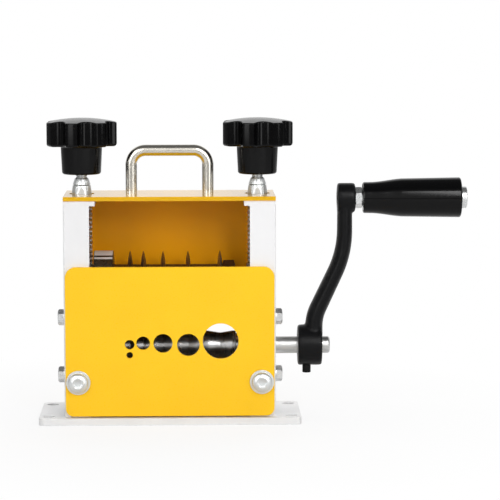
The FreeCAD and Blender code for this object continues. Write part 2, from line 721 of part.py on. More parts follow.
def make_blades():
    """Disc blades, ground to an edge from both sides."""
    bore = "blade_seat_d / 2 + fixed_fit"
    half, edge = "blade_thick / 2", "blade_edge / 2"
    for order, way in enumerate(WAYS, start=1):
        points = [(bore, f"-{half}"), ("blade_flat_d / 2", f"-{half}"),
                  ("blade_d / 2", f"-{edge}"), ("blade_d / 2", edge),
                  ("blade_flat_d / 2", half), (bore, half)]
        keep(turned(f"strip_blade_{order}", points, (f"way_{way}_x", "0", "blade_z"), "right"))


def make_blade_spacers():
    """Sleeves between the shoulder, the blades and the lock nut."""
    starts = ["-shoulder_right_x"] + [f"way_{way}_x + blade_thick / 2" for way in WAYS[:-1]]
    for order, (start, way) in enumerate(zip(starts, WAYS), start=1):
        keep(ring(f"blade_spacer_{order}", "spacer_d", "blade_seat_d + 2 * fixed_fit",
                  f"way_{way}_x - blade_thick / 2 - ({start})", (start, "0", "blade_z"), "right"))


def make_lock_nut():
    """Thin nut that clamps the blade stack."""
    keep(hex_nut("blade_lock_nut", "lock_nut_across", "lock_nut_height",
                 "blade_seat_d + 2 * fixed_fit",
                 ("way_e_x + blade_thick / 2", "0", "blade_z"), "right"))


# ---------------------------------------------------------------- crank shaft and roller

def make_crank_shaft():
    """Plain shaft, cross-drilled for the roller's pin."""
    radius = "crank_shaft_d / 2"
    shaft = turned("crank_rod", [("0", "-shaft_tail_x"), (radius, "-shaft_tail_x"),
                                 (radius, "shaft_nose_x - shaft_chamfer"),
                                 (f"{radius} - shaft_chamfer", "shaft_nose_x"),
                                 ("0", "shaft_nose_x")], ("0", "0", "crank_z"), "right")
    hole = cylinder("crank_rod_hole", "roller_pin_d + 2 * fixed_fit", "crank_shaft_d * 2",
                    ("roller_pin_x", "0", "crank_z - crank_shaft_d"))
    keep(cut("crank_shaft", shaft, hole))


def make_feed_roller():
    """Roller with one shallow groove under each blade, as wide as its wire hole is across."""
    radius, bore = "roller_d / 2", "crank_shaft_d / 2 + fixed_fit"
    points = [(bore, "roller_left_x"), (radius, "roller_left_x")]
    for way in WAYS:
        half = f"(2 + way_{way}_d / 4)"
        points += [(radius, f"way_{way}_x - {half}"),
                   (f"{radius} - groove_deep", f"way_{way}_x"),
                   (radius, f"way_{way}_x + {half}")]
    points += [(radius, "roller_right_x"), (bore, "roller_right_x")]
    blank = turned("roller_blank", points, ("0", "0", "crank_z"), "right")
    hole = cylinder("roller_hole", "roller_pin_d + 2 * fixed_fit", "roller_d * 2",
                    ("roller_pin_x", "0", "crank_z - roller_d"))
    keep(cut("feed_roller", blank, hole))
    keep(cylinder("roller_pin", "roller_pin_d", "roller_pin_length",
                  ("roller_pin_x", "0", "crank_z - roller_pin_length / 2")))


def make_roller_collars():
    """Collars between the roller and the lower blocks."""
    bore = "crank_shaft_d + 2 * fixed_fit"
    left = ring("roller_collar_left", "roller_collar_d", bore, "collar_end_x + roller_left_x",
                ("-collar_end_x", "0", "crank_z"), "right")
    right = ring("roller_collar_right", "roller_collar_d", bore, "collar_end_x - roller_right_x",
                 ("roller_right_x", "0", "crank_z"), "right")
    keep(group("roller_collars", [left, right]))


# ---------------------------------------------------------------- crank

def arm_path(body):
    """Centre line of the arm: up, out on a slope, and up again, with an arc at each change."""
    sketch = new_sketch(body, "arm_path", "XZ_Plane", "0")
    slope = math.radians(number("arm_slope"))
    low_bend, high_bend = number("arm_low_bend"), number("arm_high_bend")
    lean, rise = 1 - math.cos(slope), math.sin(slope)
    low = Vector(number("arm_low_x"), number("crank_z"), 0)
    first = low + Vector(0, number("arm_rise"), 0)
    second = first + Vector(low_bend * lean, low_bend * rise, 0)
    high = Vector(number("arm_high_x"), number("arm_top"), 0)
    run = (high.x - second.x - high_bend * lean) / rise
    third = second + Vector(rise, math.cos(slope), 0) * run
    fourth = Vector(high.x, third.y + high_bend * rise, 0)
    low_centre = first + Vector(low_bend, 0, 0)
    high_centre = fourth - Vector(high_bend, 0, 0)
    upright = Vector(0, 0, 1)
    low_arc = Part.ArcOfCircle(Part.Circle(low_centre, upright, low_bend),
                               math.pi - slope, math.pi)
    high_arc = Part.ArcOfCircle(Part.Circle(high_centre, upright, high_bend), -slope, 0)
    for shape in (Part.LineSegment(low, first), low_arc, Part.LineSegment(second, third),
                  high_arc, Part.LineSegment(fourth, high)):
        sketch.addGeometry(shape, False)
    for edge, end, other, other_end in ((0, 2, 1, 2), (1, 1, 2, 1), (2, 2, 3, 1), (3, 2, 4, 1)):
        sketch.addConstraint(Sketcher.Constraint("Tangent", edge, end, other, other_end))
    sketch.addConstraint(Sketcher.Constraint("Vertical", 0))
    sketch.addConstraint(Sketcher.Constraint("Vertical", 4))
    hold_point(sketch, 0, 1, ("arm_low_x", "crank_z"))
    hold_point(sketch, 4, 2, ("arm_high_x", "arm_top"))
    for kind, edge, text in (("DistanceY", 0, "arm_rise"), ("Radius", 1, "arm_low_bend"),
                             ("Radius", 3, "arm_high_bend")):
        rule = sketch.addConstraint(Sketcher.Constraint(kind, edge, number(text)))
        bind(sketch, f"Constraints[{rule}]", text)
    rule = sketch.addConstraint(Sketcher.Constraint("Angle", 2, math.pi / 2 - slope))
    bind(sketch, f"Constraints[{rule}]", "(90 - arm_slope) * 1 deg")
    return sketch


def arm_section(body, name, level, centre_x, thick, wide):
    """An oval section of the arm at one level."""
    sketch = new_sketch(body, name, "XY_Plane", level)
    centre = Vector(number(centre_x), 0, 0)
    oval = Part.Ellipse(centre + Vector(0, number(wide) / 2, 0),
                        centre + Vector(number(thick) / 2, 0, 0), centre)
    edge = sketch.addGeometry(oval, False)
    sketch.exposeInternalGeometry(edge)
    hold_point(sketch, edge, 3, (centre_x, "0"))
    wide_line, thick_line = edge + 1, edge + 2
    sketch.addConstraint(Sketcher.Constraint("Vertical", wide_line))
    for line, text in ((wide_line, wide), (thick_line, thick)):
        rule = sketch.addConstraint(Sketcher.Constraint("Distance", line, number(text)))
        bind(sketch, f"Constraints[{rule}]", text)
    return sketch


def make_crank_arm():
    """Cast arm of oval section, thinner at the top, between the hub and the handle boss."""
    body = new_body("crank_arm")
    low = arm_section(body, "arm_low_section", "crank_z", "arm_low_x", "arm_thick", "arm_wide")
    high = arm_section(body, "arm_high_section", "arm_top", "arm_high_x", "arm_top_thick",
                       "arm_top_wide")
    path = arm_path(body)
    arm = body.newObject("PartDesign::AdditivePipe", "crank_arm_sweep")
    arm.Profile = low
    arm.Spine = (path, [f"Edge{index}" for index in range(1, 6)])
    arm.Transformation = "Multisection"
    arm.Sections = [high]
    doc.recompute()
    if not arm.isValid():
        raise RuntimeError("the arm's sweep fails")
    pad(body, circles(body, "boss_circle", "YZ_Plane",
                      [("0", "crank_z + crank_radius", "boss_d")], "boss_left_x"), "boss_width")
    pad(body, circles(body, "hub_circle", "YZ_Plane", [("0", "crank_z", "hub_d")], "hub_left_x"),
        "hub_width")
    drill(body, "YZ_Plane", [("0", "crank_z", "crank_shaft_d + 2 * fixed_fit")])
    drill(body, "YZ_Plane", [("0", "crank_z + crank_radius", "spindle_thread_d + 2 * fixed_fit")])
    drill(body, "XY_Plane", [("set_screw_x", "0", "set_screw_d + 2 * fixed_fit")],
          start="crank_z", depth="hub_d")
    keep(body)
    keep(cylinder("crank_set_screw", "set_screw_d", "set_screw_length",
                  ("set_screw_x", "0", "crank_z - crank_shaft_d / 2"), "down"))


def make_handle():
    """Spindle with a socket head, its jam nut, and the grip that turns on it."""
    axis = ("0", "0", "crank_z + crank_radius")
    thread, smooth = "spindle_thread_d / 2", "spindle_d / 2"
    nut_x = "boss_left_x + boss_width"
    head = "grip_right_x + hole_room"
    tip = f"{head} + spindle_head_length"
    socket = "spindle_socket_d / 2"
    keep(turned("handle_spindle", [
        ("0", "spindle_start_x"), (thread, "spindle_start_x"),
        (thread, f"{nut_x} + jam_nut_height"), (smooth, f"{nut_x} + jam_nut_height"),
        (smooth, head), ("spindle_head_d / 2", head), ("spindle_head_d / 2", tip),
        (socket, tip), (socket, head), ("0", head)], axis, "right"))
    keep(hex_nut("handle_jam_nut", "nut_across", "jam_nut_height",
                 "spindle_thread_d + 2 * fixed_fit", (nut_x, "0", axis[2]), "right"))
    bore = "spindle_d / 2 + running_fit"
    small, flare, large = "grip_small_d / 2", "grip_flare_d / 2", "grip_large_d / 2"
    grip = turned("handle_grip", [
        (bore, "grip_left_x"), (small, "grip_left_x"), (flare, "grip_flare_x"),
        (large, "grip_right_x"), (bore, "grip_right_x")], axis, "right")
    dress(grip, "Fillet", "grip_round", lambda edge: edge.Curve.TypeId == "Part::GeomCircle"
          and edge.Curve.Radius > number(small) - 1e-4
          and abs(edge.Curve.Center.z - number("grip_flare_x")) > 1)
    keep(grip)


# ---------------------------------------------------------------- knobs, studs and springs

def make_stud(name, side):
    """Adjusting stud: end collar and neck in the sliding block, thread through the cap nut."""
    low = "slide_top - pocket_deep + end_gap"
    neck = f"{low} + collar_height"
    thread = "slide_top + retainer_height + end_gap"
    collar_r, neck_r, thread_r = "collar_d / 2", "neck_d / 2", "stud_d / 2"
    keep(turned(f"{name}_stud", [
        ("0", low), (collar_r, low), (collar_r, neck), (neck_r, neck), (neck_r, thread),
        (thread_r, thread), (thread_r, "stud_top"), ("0", "stud_top")],
        (f"{side} * stud_x", "0", "0")))


def make_knob(name, side):
    """Star knob: tapered hub with a hollow underside, and a lobed head with a low dome."""
    stud_r = "stud_d / 2 + fixed_fit"
    cavity = "knob_cavity_d / 2"
    body = turned(f"{name}_star_knob", [
        (stud_r, "knob_cavity_top"), (cavity, "knob_cavity_top"), (cavity, "knob_bottom"),
        ("hub_low_d / 2", "knob_bottom"), ("hub_top_d / 2", "head_bottom"),
        ("head_d / 2", "head_bottom"), ("head_d / 2", "head_top"),
        ("head_d / 4", "dome_z - (dome_z - head_top) / 4"), ("0", "dome_z"),
        ("0", "stud_top"), (stud_r, "stud_top")], (f"{side} * stud_x", "0", "0"))
    body.Placement.Rotation = Rotation(Vector(0, 0, 1), number(f"{name}_knob_turn"))
    scallop = drill(body, "XY_Plane", [("scallop_centre", "0", "scallop_d")],
                    start="head_bottom", depth="through", forward=True)
    pattern = body.newObject("PartDesign::PolarPattern", f"{name}_knob_pattern")
    pattern.Originals = [scallop]
    pattern.Axis = (origin_part(body, "Z_Axis"), [""])
    pattern.Angle = 360
    bind(pattern, "Occurrences", "lobes")
    body.Tip = pattern
    doc.recompute()
    rim = number("head_d / 2")
    dress(body, "Fillet", "knob_round", lambda edge: is_along(edge, Vector(0, 0, 1))
          and math.hypot(edge_middle(edge).x, edge_middle(edge).y) > rim - 0.5)
    keep(body)


def make_spring(name, side):
    """Open coil round the stud, between the retainer plate and the cap plate."""
    wire_r = number("spring_wire_d / 2")
    coil_r = number("spring_d / 2") - wire_r
    low = number("slide_top + retainer_height") + wire_r
    length = number("channel_top") - wire_r - low
    helix = Part.makeHelix(number("spring_pitch"), length, coil_r)
    start = Part.Wire(Part.Circle(Vector(coil_r, 0, 0), Vector(0, 1, 0), wire_r).toShape())
    spring = doc.addObject("Part::Feature", f"{name}_spring")
    spring.Shape = Part.Wire(helix).makePipeShell([start], True, True)
    spring.Placement = Placement(Vector(number(f"{side} * stud_x"), 0, low), Rotation())
    turn = math.hypot(number("spring_pitch"), 2 * math.pi * coil_r)
    wanted = math.pi * wire_r ** 2 * turn * length / number("spring_pitch")
    if abs(spring.Shape.Volume / wanted - 1) > 0.02:
        raise RuntimeError(f"{name}_spring has volume {spring.Shape.Volume}, not {wanted}")
    keep(spring)


# ---------------------------------------------------------------- the whole object

def make_all():
    """Build every node."""
    make_base_plate()
    make_base_screws()
    for name, side in SIDES.items():
        make_side_channel(name, side)
        make_cap_plate(name, side)
        make_lower_block(name, side)
        make_sliding_block(name, side)
        make_retainer_plate(name, side)
        make_stud(name, side)
        make_knob(name, side)
        make_spring(name, side)
    make_cap_screws()
    make_top_cover()
    make_rear_screws()
    make_front_guide_plate()
    make_front_bolts()
    make_side_bolts()
    make_crank_bushes()
    make_cap_nuts()
    make_pull_handle()
    make_pull_screws()
    make_blade_bushes()
    make_retainer_screws()
    make_blade_shaft()
    make_blades()
    make_blade_spacers()
    make_lock_nut()
    make_crank_shaft()
    make_feed_roller()
    make_roller_collars()
    make_crank_arm()
    make_handle()
    doc.recompute()


def check_all():
    """Stop if any object failed, or any node's shape is missing, invalid or empty."""
    for item in doc.Objects:
        if "Invalid" in item.State or "Error" in item.State:
            raise RuntimeError(f"{item.Label} is in state {item.State}")
    for label, item in nodes.items():
        shape = item.Shape
        if shape.isNull() or not shape.isValid() or shape.Volume <= 0:
            raise RuntimeError(f"{label} has no valid solid")


def write_all():
    """Write each node's shape to a file of its own."""
    os.makedirs("parts", exist_ok=True)
    for label, item in nodes.items():
        item.Shape.exportStep(os.path.join("parts", f"{label}.step"))
        print(f"{label:24s} {len(item.Shape.Solids)} solid(s), {item.Shape.Volume:10.1f} mm3")


make_all()
check_all()
write_all()
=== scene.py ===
"""Looks for the hand crank wire stripper, laid out as an add-on.

Lengths are metres in the model's frame: +X towards the crank, +Y to the back panel, +Z up.
"""
import json
import math

import bmesh
import bpy
from mathutils import Matrix, Vector


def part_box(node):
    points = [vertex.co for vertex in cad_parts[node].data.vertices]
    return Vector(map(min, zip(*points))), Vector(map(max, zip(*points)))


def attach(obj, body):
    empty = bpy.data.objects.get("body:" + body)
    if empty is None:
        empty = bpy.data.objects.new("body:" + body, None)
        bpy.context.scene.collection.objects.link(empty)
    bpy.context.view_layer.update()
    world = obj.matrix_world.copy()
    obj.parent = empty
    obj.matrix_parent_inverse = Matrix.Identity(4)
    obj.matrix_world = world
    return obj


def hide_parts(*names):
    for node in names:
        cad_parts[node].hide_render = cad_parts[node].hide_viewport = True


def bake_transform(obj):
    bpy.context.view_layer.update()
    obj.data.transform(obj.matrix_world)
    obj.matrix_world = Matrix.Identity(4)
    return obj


bl_info = {
    "name": "Hand crank wire stripper",
    "version": (1, 0, 0),
    "blender": (4, 5, 0),
    "location": "3D View > Sidebar > Stripper",
    "description": "Dresses the packed wire stripper with finished pieces and materials",
    "category": "Object",
}

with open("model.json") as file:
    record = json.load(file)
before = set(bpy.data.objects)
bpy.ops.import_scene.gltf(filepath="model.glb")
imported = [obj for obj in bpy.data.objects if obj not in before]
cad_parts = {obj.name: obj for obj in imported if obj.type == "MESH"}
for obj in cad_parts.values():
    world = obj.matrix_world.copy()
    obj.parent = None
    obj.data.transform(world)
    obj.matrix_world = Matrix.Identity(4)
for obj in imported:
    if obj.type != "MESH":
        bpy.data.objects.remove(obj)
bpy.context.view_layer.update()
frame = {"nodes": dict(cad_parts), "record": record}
SIDES = (("left", -1), ("right", 1))
UPRIGHT = Matrix.Identity(3)
ALONG_X = Matrix(((0, 0, 1), (0, 1, 0), (-1, 0, 0)))
TOWARDS_FRONT = Matrix(((1, 0, 0), (0, 0, -1), (0, 1, 0)))
TOWARDS_BACK = Matrix(((1, 0, 0), (0, 0, 1), (0, -1, 0)))
FULL_TURN = 2 * math.pi
ON_AXIS = 1e-8


# ---------------------------------------------------------------- sizes and colours

def length(name, about, value):
    """A length setting, in metres."""
    return bpy.props.FloatProperty(name=name, description=about, default=value, min=0,
                                   precision=5, unit="LENGTH", subtype="DISTANCE")


def direction(name, about, degrees):
    """An angle setting, given in degrees."""
    return bpy.props.FloatProperty(name=name, description=about, default=math.radians(degrees),
                                   unit="ROTATION", subtype="ANGLE")


def colour(name, about, value):
    """A colour setting."""
    return bpy.props.FloatVectorProperty(name=name, description=about, default=value, size=3,
                                         min=0, max=1, subtype="COLOR")


class StripperSizes(bpy.types.PropertyGroup):
    """Sizes of the edges and of turned, coiled and moulded detail, and the knobs' directions."""
    plate_edge: length("Plate edge", "Rounding on the edges of plates and channels", 0.0004)
    block_edge: length("Block edge", "Rounding on the edges of milled blocks", 0.0005)
    turned_edge: length("Turned edge", "Rounding on the edges of turned parts", 0.0003)
    knob_head: length("Knob head", "Radius over the lobes of a knob", 0.025)
    knob_scallop: length("Knob scallop", "Radius of a scallop between two lobes", 0.0074)
    knob_scallop_way: length("Knob scallop way", "From a knob's axis to a scallop's centre",
                             0.0277)
    knob_head_height: length("Knob head height", "From under a knob's head to its dome", 0.0198)
    knob_dome: length("Knob dome", "Rise of a knob's dome over its rim", 0.0029)
    knob_top_edge: length("Knob top edge", "Rounding round the top of a knob's head", 0.0010)
    knob_low_edge: length("Knob low edge", "Rounding under a knob's head", 0.0018)
    knob_waist: length("Knob waist", "Softness where a lobe of a knob meets a scallop", 0.0032)
    spring_wire: length("Spring wire", "Diameter of the spring wire", 0.0015)
    spring_pitch: length("Spring pitch", "Rise of one coil of a spring", 0.0032)
    nut_chamfer: length("Nut chamfer", "Height of the chamfer on nuts and bolt heads", 0.0009)
    nut_cone_low: length("Nut cone foot", "Radius of the nuts' long cone at the cover", 0.0074)
    nut_cone_middle: length("Nut cone middle", "Radius of the cone between the two nuts", 0.0063)
    nut_cone_top: length("Nut cone top", "Radius of the cone on top of the stop nuts", 0.0049)
    side_bolt_way: length("Side bolt way", "Height from the crank shaft to a side bolt", 0.0205)
    grip_small: length("Grip small radius", "Radius of the grip next to the crank", 0.011)
    grip_flare: length("Grip flare radius", "Radius of the grip where its swell ends", 0.0135)
    grip_flare_way: length("Grip flare way", "From the grip's thin end to its swell's end",
                           0.0274)
    grip_edge: length("Grip edge", "Rounding of the grip's thick end", 0.0013)
    casting_cell: length("Casting cell", "Cell of the mesh of the crank's casting", 0.0008)
    casting_swell: length("Casting swell", "What the casting's softening takes off", 0.00045)
    left_knob: direction("Left knob", "Direction of the left knob's first scallop", 24.6)
    right_knob: direction("Right knob", "Direction of the right knob's first scallop", 22.1)


class StripperColours(bpy.types.PropertyGroup):
    """Colours of the finishes."""
    yellow: colour("Yellow", "Powder coat of the guide plate", (0.97, 0.57, 0.016))
    # Painted shade: the cover is the guide plate's powder coat, made darker for the shade it
    # shows.
    shaded_cover_yellow: colour("Shaded cover yellow", "Powder coat of the cover", (0.74, 0.41, 0.009))
    # Painted shade: the cover's inner faces are the same powder coat, darker and more orange for
    # the shade inside.
    shaded_cover_inside: colour("Shaded cover inside", "Powder coat of the cover's inner faces",
                         (0.93, 0.392, 0.002))
    silver: colour("Silver", "Paint of the side channels", (0.80, 0.80, 0.81))
    base_grey: colour("Base grey", "Paint of the base plate", (0.80, 0.80, 0.80))
    zinc: colour("Zinc", "Plating of the bolts and nuts", (0.74, 0.75, 0.75))
    pale_zinc: colour("Pale zinc", "Plating of the front bolts and the nuts on the cover",
                      (0.73, 0.75, 0.75))
    bright_steel: colour("Bright steel", "Turned shafts and collars", (0.84, 0.83, 0.82))
    # Painted reflection: the blade shaft's bright bands and its dark rest copy what a polished
    # shoulder mirrors.
    painted_bright_reflection: colour("Painted bright reflection", "Bright bands on the blade shaft's shoulder, a painted reflection",
                        (0.74, 0.72, 0.69))
    painted_dark_reflection: colour("Painted dark reflection", "The blade shaft between its bright bands, a painted dark reflection",
                      (0.12, 0.115, 0.095))
    shaft_steel: colour("Shaft steel", "Turned crank shaft", (0.6, 0.6, 0.59))
    roller_steel: colour("Roller steel", "Hardened feed roller", (0.40, 0.40, 0.40))
    blade_steel: colour("Blade steel", "Ground blades", (0.20, 0.16, 0.12))
    dark_steel: colour("Dark steel", "Blackened sleeves and screws", (0.05, 0.04, 0.03))
    block_steel: colour("Block steel", "Milled blocks", (0.42, 0.42, 0.42))
    bronze: colour("Bronze", "Bushes", (0.55, 0.33, 0.12))
    rod: colour("Rod", "Polished pull handle", (0.70, 0.67, 0.60))
    black: colour("Black", "Moulded knobs and grip", (0.0018, 0.0018, 0.002))
    casting: colour("Casting", "Painted crank casting", (0.004, 0.004, 0.0045))


def sizes():
    """The scene's settings of size and direction."""
    return bpy.context.scene.stripper_sizes


def colours():
    """The scene's colour settings."""
    return bpy.context.scene.stripper_colours


# ---------------------------------------------------------------- shader node groups

def link_all(tree, links):
    """Join sockets, given as (from node, its output, to node, its input)."""
    for source, output, target, entry in links:
        tree.links.new(source.outputs[output], target.inputs[entry])


def node_in(tree, kind, settings=(), **inputs):
    """Add a node, set its properties, and set inputs by name."""
    node = tree.nodes.new(kind)
    for name, value in dict(settings).items():
        setattr(node, name, value)
    for name, value in inputs.items():
        node.inputs[name.replace("_", " ")].default_value = value
    return node


def new_group(name, entries, exits):
    """An empty shader node group with named sockets, given as (name, type, default)."""
    group = bpy.data.node_groups.new(name, "ShaderNodeTree")
    for label, kind, default in entries:
        socket = group.interface.new_socket(label, in_out="INPUT", socket_type=kind)
        socket.default_value = default
    for label, kind in exits:
        group.interface.new_socket(label, in_out="OUTPUT", socket_type=kind)
    return group, group.nodes.new("NodeGroupInput"), group.nodes.new("NodeGroupOutput")


def grain_group():
    """Noise stretched along an axis: brushing, turning lines, orange peel or cast skin."""
    group, entry, leave = new_group(
        "surface_grain",
        (("Stretch", "NodeSocketVector", (1, 1, 1)), ("Scale", "NodeSocketFloat", 1000.0),
         ("Detail", "NodeSocketFloat", 3.0)),
        (("Grain", "NodeSocketFloat"),))
    place = group.nodes.new("ShaderNodeTexCoord")
    stretch = node_in(group, "ShaderNodeVectorMath", {"operation": "MULTIPLY"})
    noise = group.nodes.new("ShaderNodeTexNoise")
    link_all(group, ((place, "Object", stretch, 0), (entry, "Stretch", stretch, 1),
                     (stretch, 0, noise, "Vector"), (entry, "Scale", noise, "Scale"),
                     (entry, "Detail", noise, "Detail"), (noise, 0, leave, "Grain")))
    return group


def tone_group():
    """A colour that drifts between two shades over the surface."""
    group, entry, leave = new_group(
        "tone_drift",
        (("Colour", "NodeSocketColor", (1, 1, 1, 1)),
         ("Other Colour", "NodeSocketColor", (1, 1, 1, 1)), ("Scale", "NodeSocketFloat", 25.0),
         ("Low", "NodeSocketFloat", 0.4), ("High", "NodeSocketFloat", 0.7)),
        (("Colour", "NodeSocketColor"), ("Mask", "NodeSocketFloat")))
    place = group.nodes.new("ShaderNodeTexCoord")
    noise = node_in(group, "ShaderNodeTexNoise", Detail=4.0)
    limits = group.nodes.new("ShaderNodeMapRange")
    mix = node_in(group, "ShaderNodeMix", {"data_type": "RGBA"})
    link_all(group, ((place, "Object", noise, "Vector"), (entry, "Scale", noise, "Scale"),
                     (noise, 0, limits, "Value"), (entry, "Low", limits, "From Min"),
                     (entry, "High", limits, "From Max"), (limits, 0, mix, 0),
                     (entry, "Colour", mix, 6), (entry, "Other Colour", mix, 7),
                     (mix, 2, leave, "Colour"), (limits, 0, leave, "Mask")))
    return group


GROUPS = {}


def group_node(tree, name, **inputs):
    """Place one of the shared groups in a material."""
    node = tree.nodes.new("ShaderNodeGroup")
    node.node_tree = GROUPS[name]
    for label, value in inputs.items():
        node.inputs[label.replace("_", " ")].default_value = value
    return node


def wide(rgb, share=1.0):
    """A colour with alpha, scaled by a share."""
    return tuple(min(1.0, part * share) for part in rgb) + (1.0,)


# ---------------------------------------------------------------- materials

FINISHES = {}


def finish(name, rgb, dark, metallic, rough, rough_swing, stretch, scale, bump, coat=0.0,
           tone_scale=25.0, specular=0.5):
    """A material: drifting colour, grained roughness and a fine bump."""
    made = bpy.data.materials.new(name)
    made.use_nodes = True
    tree = made.node_tree
    shader = tree.nodes["Principled BSDF"]
    shader.inputs["Metallic"].default_value = metallic
    shader.inputs["Specular IOR Level"].default_value = specular
    shader.inputs["Coat Weight"].default_value = coat
    shader.inputs["Coat Roughness"].default_value = 0.06
    tone = group_node(tree, "tone_drift", Colour=wide(rgb), Other_Colour=wide(rgb, dark),
                      Scale=tone_scale)
    grain = group_node(tree, "surface_grain", Stretch=stretch, Scale=scale)
    rough_range = node_in(tree, "ShaderNodeMapRange", To_Min=max(rough - rough_swing, 0.02),
                          To_Max=rough + rough_swing, From_Min=0.3, From_Max=0.7)
    relief = node_in(tree, "ShaderNodeBump", Strength=1.0, Distance=bump)
    link_all(tree, ((tone, "Colour", shader, "Base Color"), (grain, "Grain", rough_range, "Value"),
                    (rough_range, 0, shader, "Roughness"), (grain, "Grain", relief, "Height"),
                    (relief, 0, shader, "Normal")))
    FINISHES[name] = made


def make_finishes():
    """Every material of the object: one for each slot of the record, and a few of its own."""
    use = colours()
    even = (1, 1, 1)
    rings_x = (1, 0.03, 0.03)
    GROUPS.update(surface_grain=grain_group(), tone_drift=tone_group())
    finish("yellow_paint", use.yellow, 0.96, 0.0, 0.3, 0.05, even, 900, 0.00001, specular=0.2)
    # The two cover finishes hold painted shade: darker outside, and darker and more orange inside.
    finish("shaded_cover_paint", use.shaded_cover_yellow, 0.96, 0.0, 0.08, 0.02, even, 900, 0.000002)
    finish("shaded_cover_inside", use.shaded_cover_inside, 0.96, 0.0, 0.35, 0.05, even, 900, 0.000008,
           specular=0.15)
    finish("silver_paint", use.silver, 0.96, 0.0, 0.38, 0.06, even, 1200, 0.00001, coat=0.1)
    finish("base_steel", use.base_grey, 0.94, 0.1, 0.42, 0.08, even, 1100, 0.000012)
    finish("zinc_steel", use.zinc, 0.93, 1.0, 0.3, 0.04, even, 700, 0.000004, tone_scale=90)
    finish("pale_zinc", use.pale_zinc, 0.9, 0.8, 0.32, 0.02, even, 700, 0.000001, tone_scale=90)
    finish("bright_steel", use.bright_steel, 0.92, 1.0, 0.2, 0.06, rings_x, 1600, 0.000006)
    finish("shaft_steel", use.shaft_steel, 0.9, 1.0, 0.36, 0.04, rings_x, 1600, 0.000003)
    # The blade shaft's two finishes are painted reflection: bright bands on a shaft coloured dark.
    finish("painted_bright_reflection", use.painted_bright_reflection, 0.9, 0.2, 0.45, 0.06, even, 900, 0.000006, specular=0.2)
    finish("painted_dark_reflection", use.painted_dark_reflection, 0.8, 0.9, 0.3, 0.06, even, 900, 0.000003)
    finish("blade_steel", use.blade_steel, 0.8, 1.0, 0.42, 0.08, even, 900, 0.000008)
    finish("dark_steel", use.dark_steel, 0.6, 0.6, 0.42, 0.1, rings_x, 1100, 0.00001,
           tone_scale=120)
    finish("roller_steel", use.roller_steel, 0.8, 1.0, 0.31, 0.06, rings_x, 1500, 0.000008,
           tone_scale=150)
    finish("block_steel", use.block_steel, 0.85, 1.0, 0.4, 0.1, (0.1, 1, 1), 900, 0.00001)
    finish("bronze", use.bronze, 0.8, 1.0, 0.35, 0.1, rings_x, 1200, 0.00001)
    finish("spring_steel", use.zinc, 0.6, 1.0, 0.3, 0.1, even, 900, 0.00001)
    finish("polished_rod", use.rod, 0.96, 1.0, 0.19, 0.0, even, 600, 0.0000001)
    finish("black_plastic", use.black, 0.7, 0.0, 0.12, 0.02, even, 500, 0.000003, specular=0.17)
    finish("black_dome", use.black, 0.7, 0.0, 0.2, 0.04, even, 500, 0.000002, specular=0.5)
    finish("black_casting", use.casting, 0.7, 0.0, 0.34, 0.06, even, 300, 0.000012, specular=0.13)


# ---------------------------------------------------------------- mesh tools

def settle(piece, finish_name, body, replaced):
    """Give a finished piece its material and its body, if it has one, and hide the nodes it stands
    for.
    """
    piece.data.materials.clear()
    piece.data.materials.append(FINISHES[finish_name])
    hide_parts(*replaced)
    if body:
        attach(piece, body)
    return piece


def piece_of(cells, name, sharp=35):
    """A scene object made of a bmesh, smooth but for edges over an angle."""
    mesh = bpy.data.meshes.new(name)
    bmesh.ops.remove_doubles(cells, verts=cells.verts, dist=1e-7)
    bmesh.ops.recalc_face_normals(cells, faces=cells.faces)
    cells.to_mesh(mesh)
    cells.free()
    mesh.shade_smooth()
    mesh.set_sharp_from_angle(angle=math.radians(sharp))
    piece = bpy.data.objects.new(name, mesh)
    bpy.context.scene.collection.objects.link(piece)
    flatter = piece.modifiers.new("face_normals", "WEIGHTED_NORMAL")
    flatter.keep_sharp = True
    return piece


def rounded(corners, radius, closed=True):
    """A polyline of (radius, height) corners, each rounded by up to a third of its sides."""
    count, steps = len(corners), 4
    points = []
    for index, (u, v) in enumerate(corners):
        here = Vector((u, v))
        ends = not closed and index in (0, count - 1)
        before = Vector(corners[index - 1]) - here
        after = Vector(corners[(index + 1) % count]) - here
        reach = min(radius, before.length / 3, after.length / 3)
        if ends or reach < 1e-6 or abs(before.angle(after) - math.pi) < 0.02:
            points.append(here)
            continue
        start = here + before.normalized() * reach
        stop = here + after.normalized() * reach
        for step in range(steps + 1):
            share = step / steps
            points.append(start * (1 - share) ** 2 + here * 2 * share * (1 - share)
                          + stop * share ** 2)
    return [(point.x, point.y) for point in points]


def radial(cells, rows, angles, at, turn=UPRIGHT, closed=True):
    """Skin rings of points: each row is (height, radius), numbers or functions of the angle."""
    rings = []
    for height, radius in rows:
        ring = []
        for angle in angles:
            reach = radius(angle) if callable(radius) else radius
            level = height(angle) if callable(height) else height
            spot = Vector((reach * math.cos(angle), reach * math.sin(angle), level))
            ring.append(cells.verts.new(turn @ spot + at))
        rings.append(ring)
    pairs = list(zip(rings, rings[1:])) + ([(rings[-1], rings[0])] if closed else [])
    for low, high in pairs:
        for index in range(len(angles)):
            after = (index + 1) % len(angles)
            corners = (low[index], low[after], high[after], high[index])
            cells.faces.new(corners)


def even_angles(count):
    """Angles round a full turn."""
    return [FULL_TURN * index / count for index in range(count)]


def lathe(cells, corners, at, turn=UPRIGHT, edge=None, count=96, closed=True):
    """Turn a profile of (radius, height) corners about an axis, with rounded edges."""
    edge = sizes().turned_edge if edge is None else edge
    profile = rounded(corners, edge, closed=closed)
    radial(cells, [(height, max(radius, ON_AXIS)) for radius, height in profile],
           even_angles(count), at, turn, closed)


def ring_profile(inner, outer, low, high):
    """The four corners of a ring's section."""
    return [(inner, low), (outer, low), (outer, high), (inner, high)]


def hexagon_reach(across):
    """Radius of a hexagon as a function of the angle."""
    def reach(angle):
        part = angle % (FULL_TURN / 6) - FULL_TURN / 12
        return across / 2 / math.cos(part)
    return reach


def hexagon_angles(fine):
    """Angles that fall on every corner of a hexagon, with even steps between."""
    return even_angles(6 * fine)


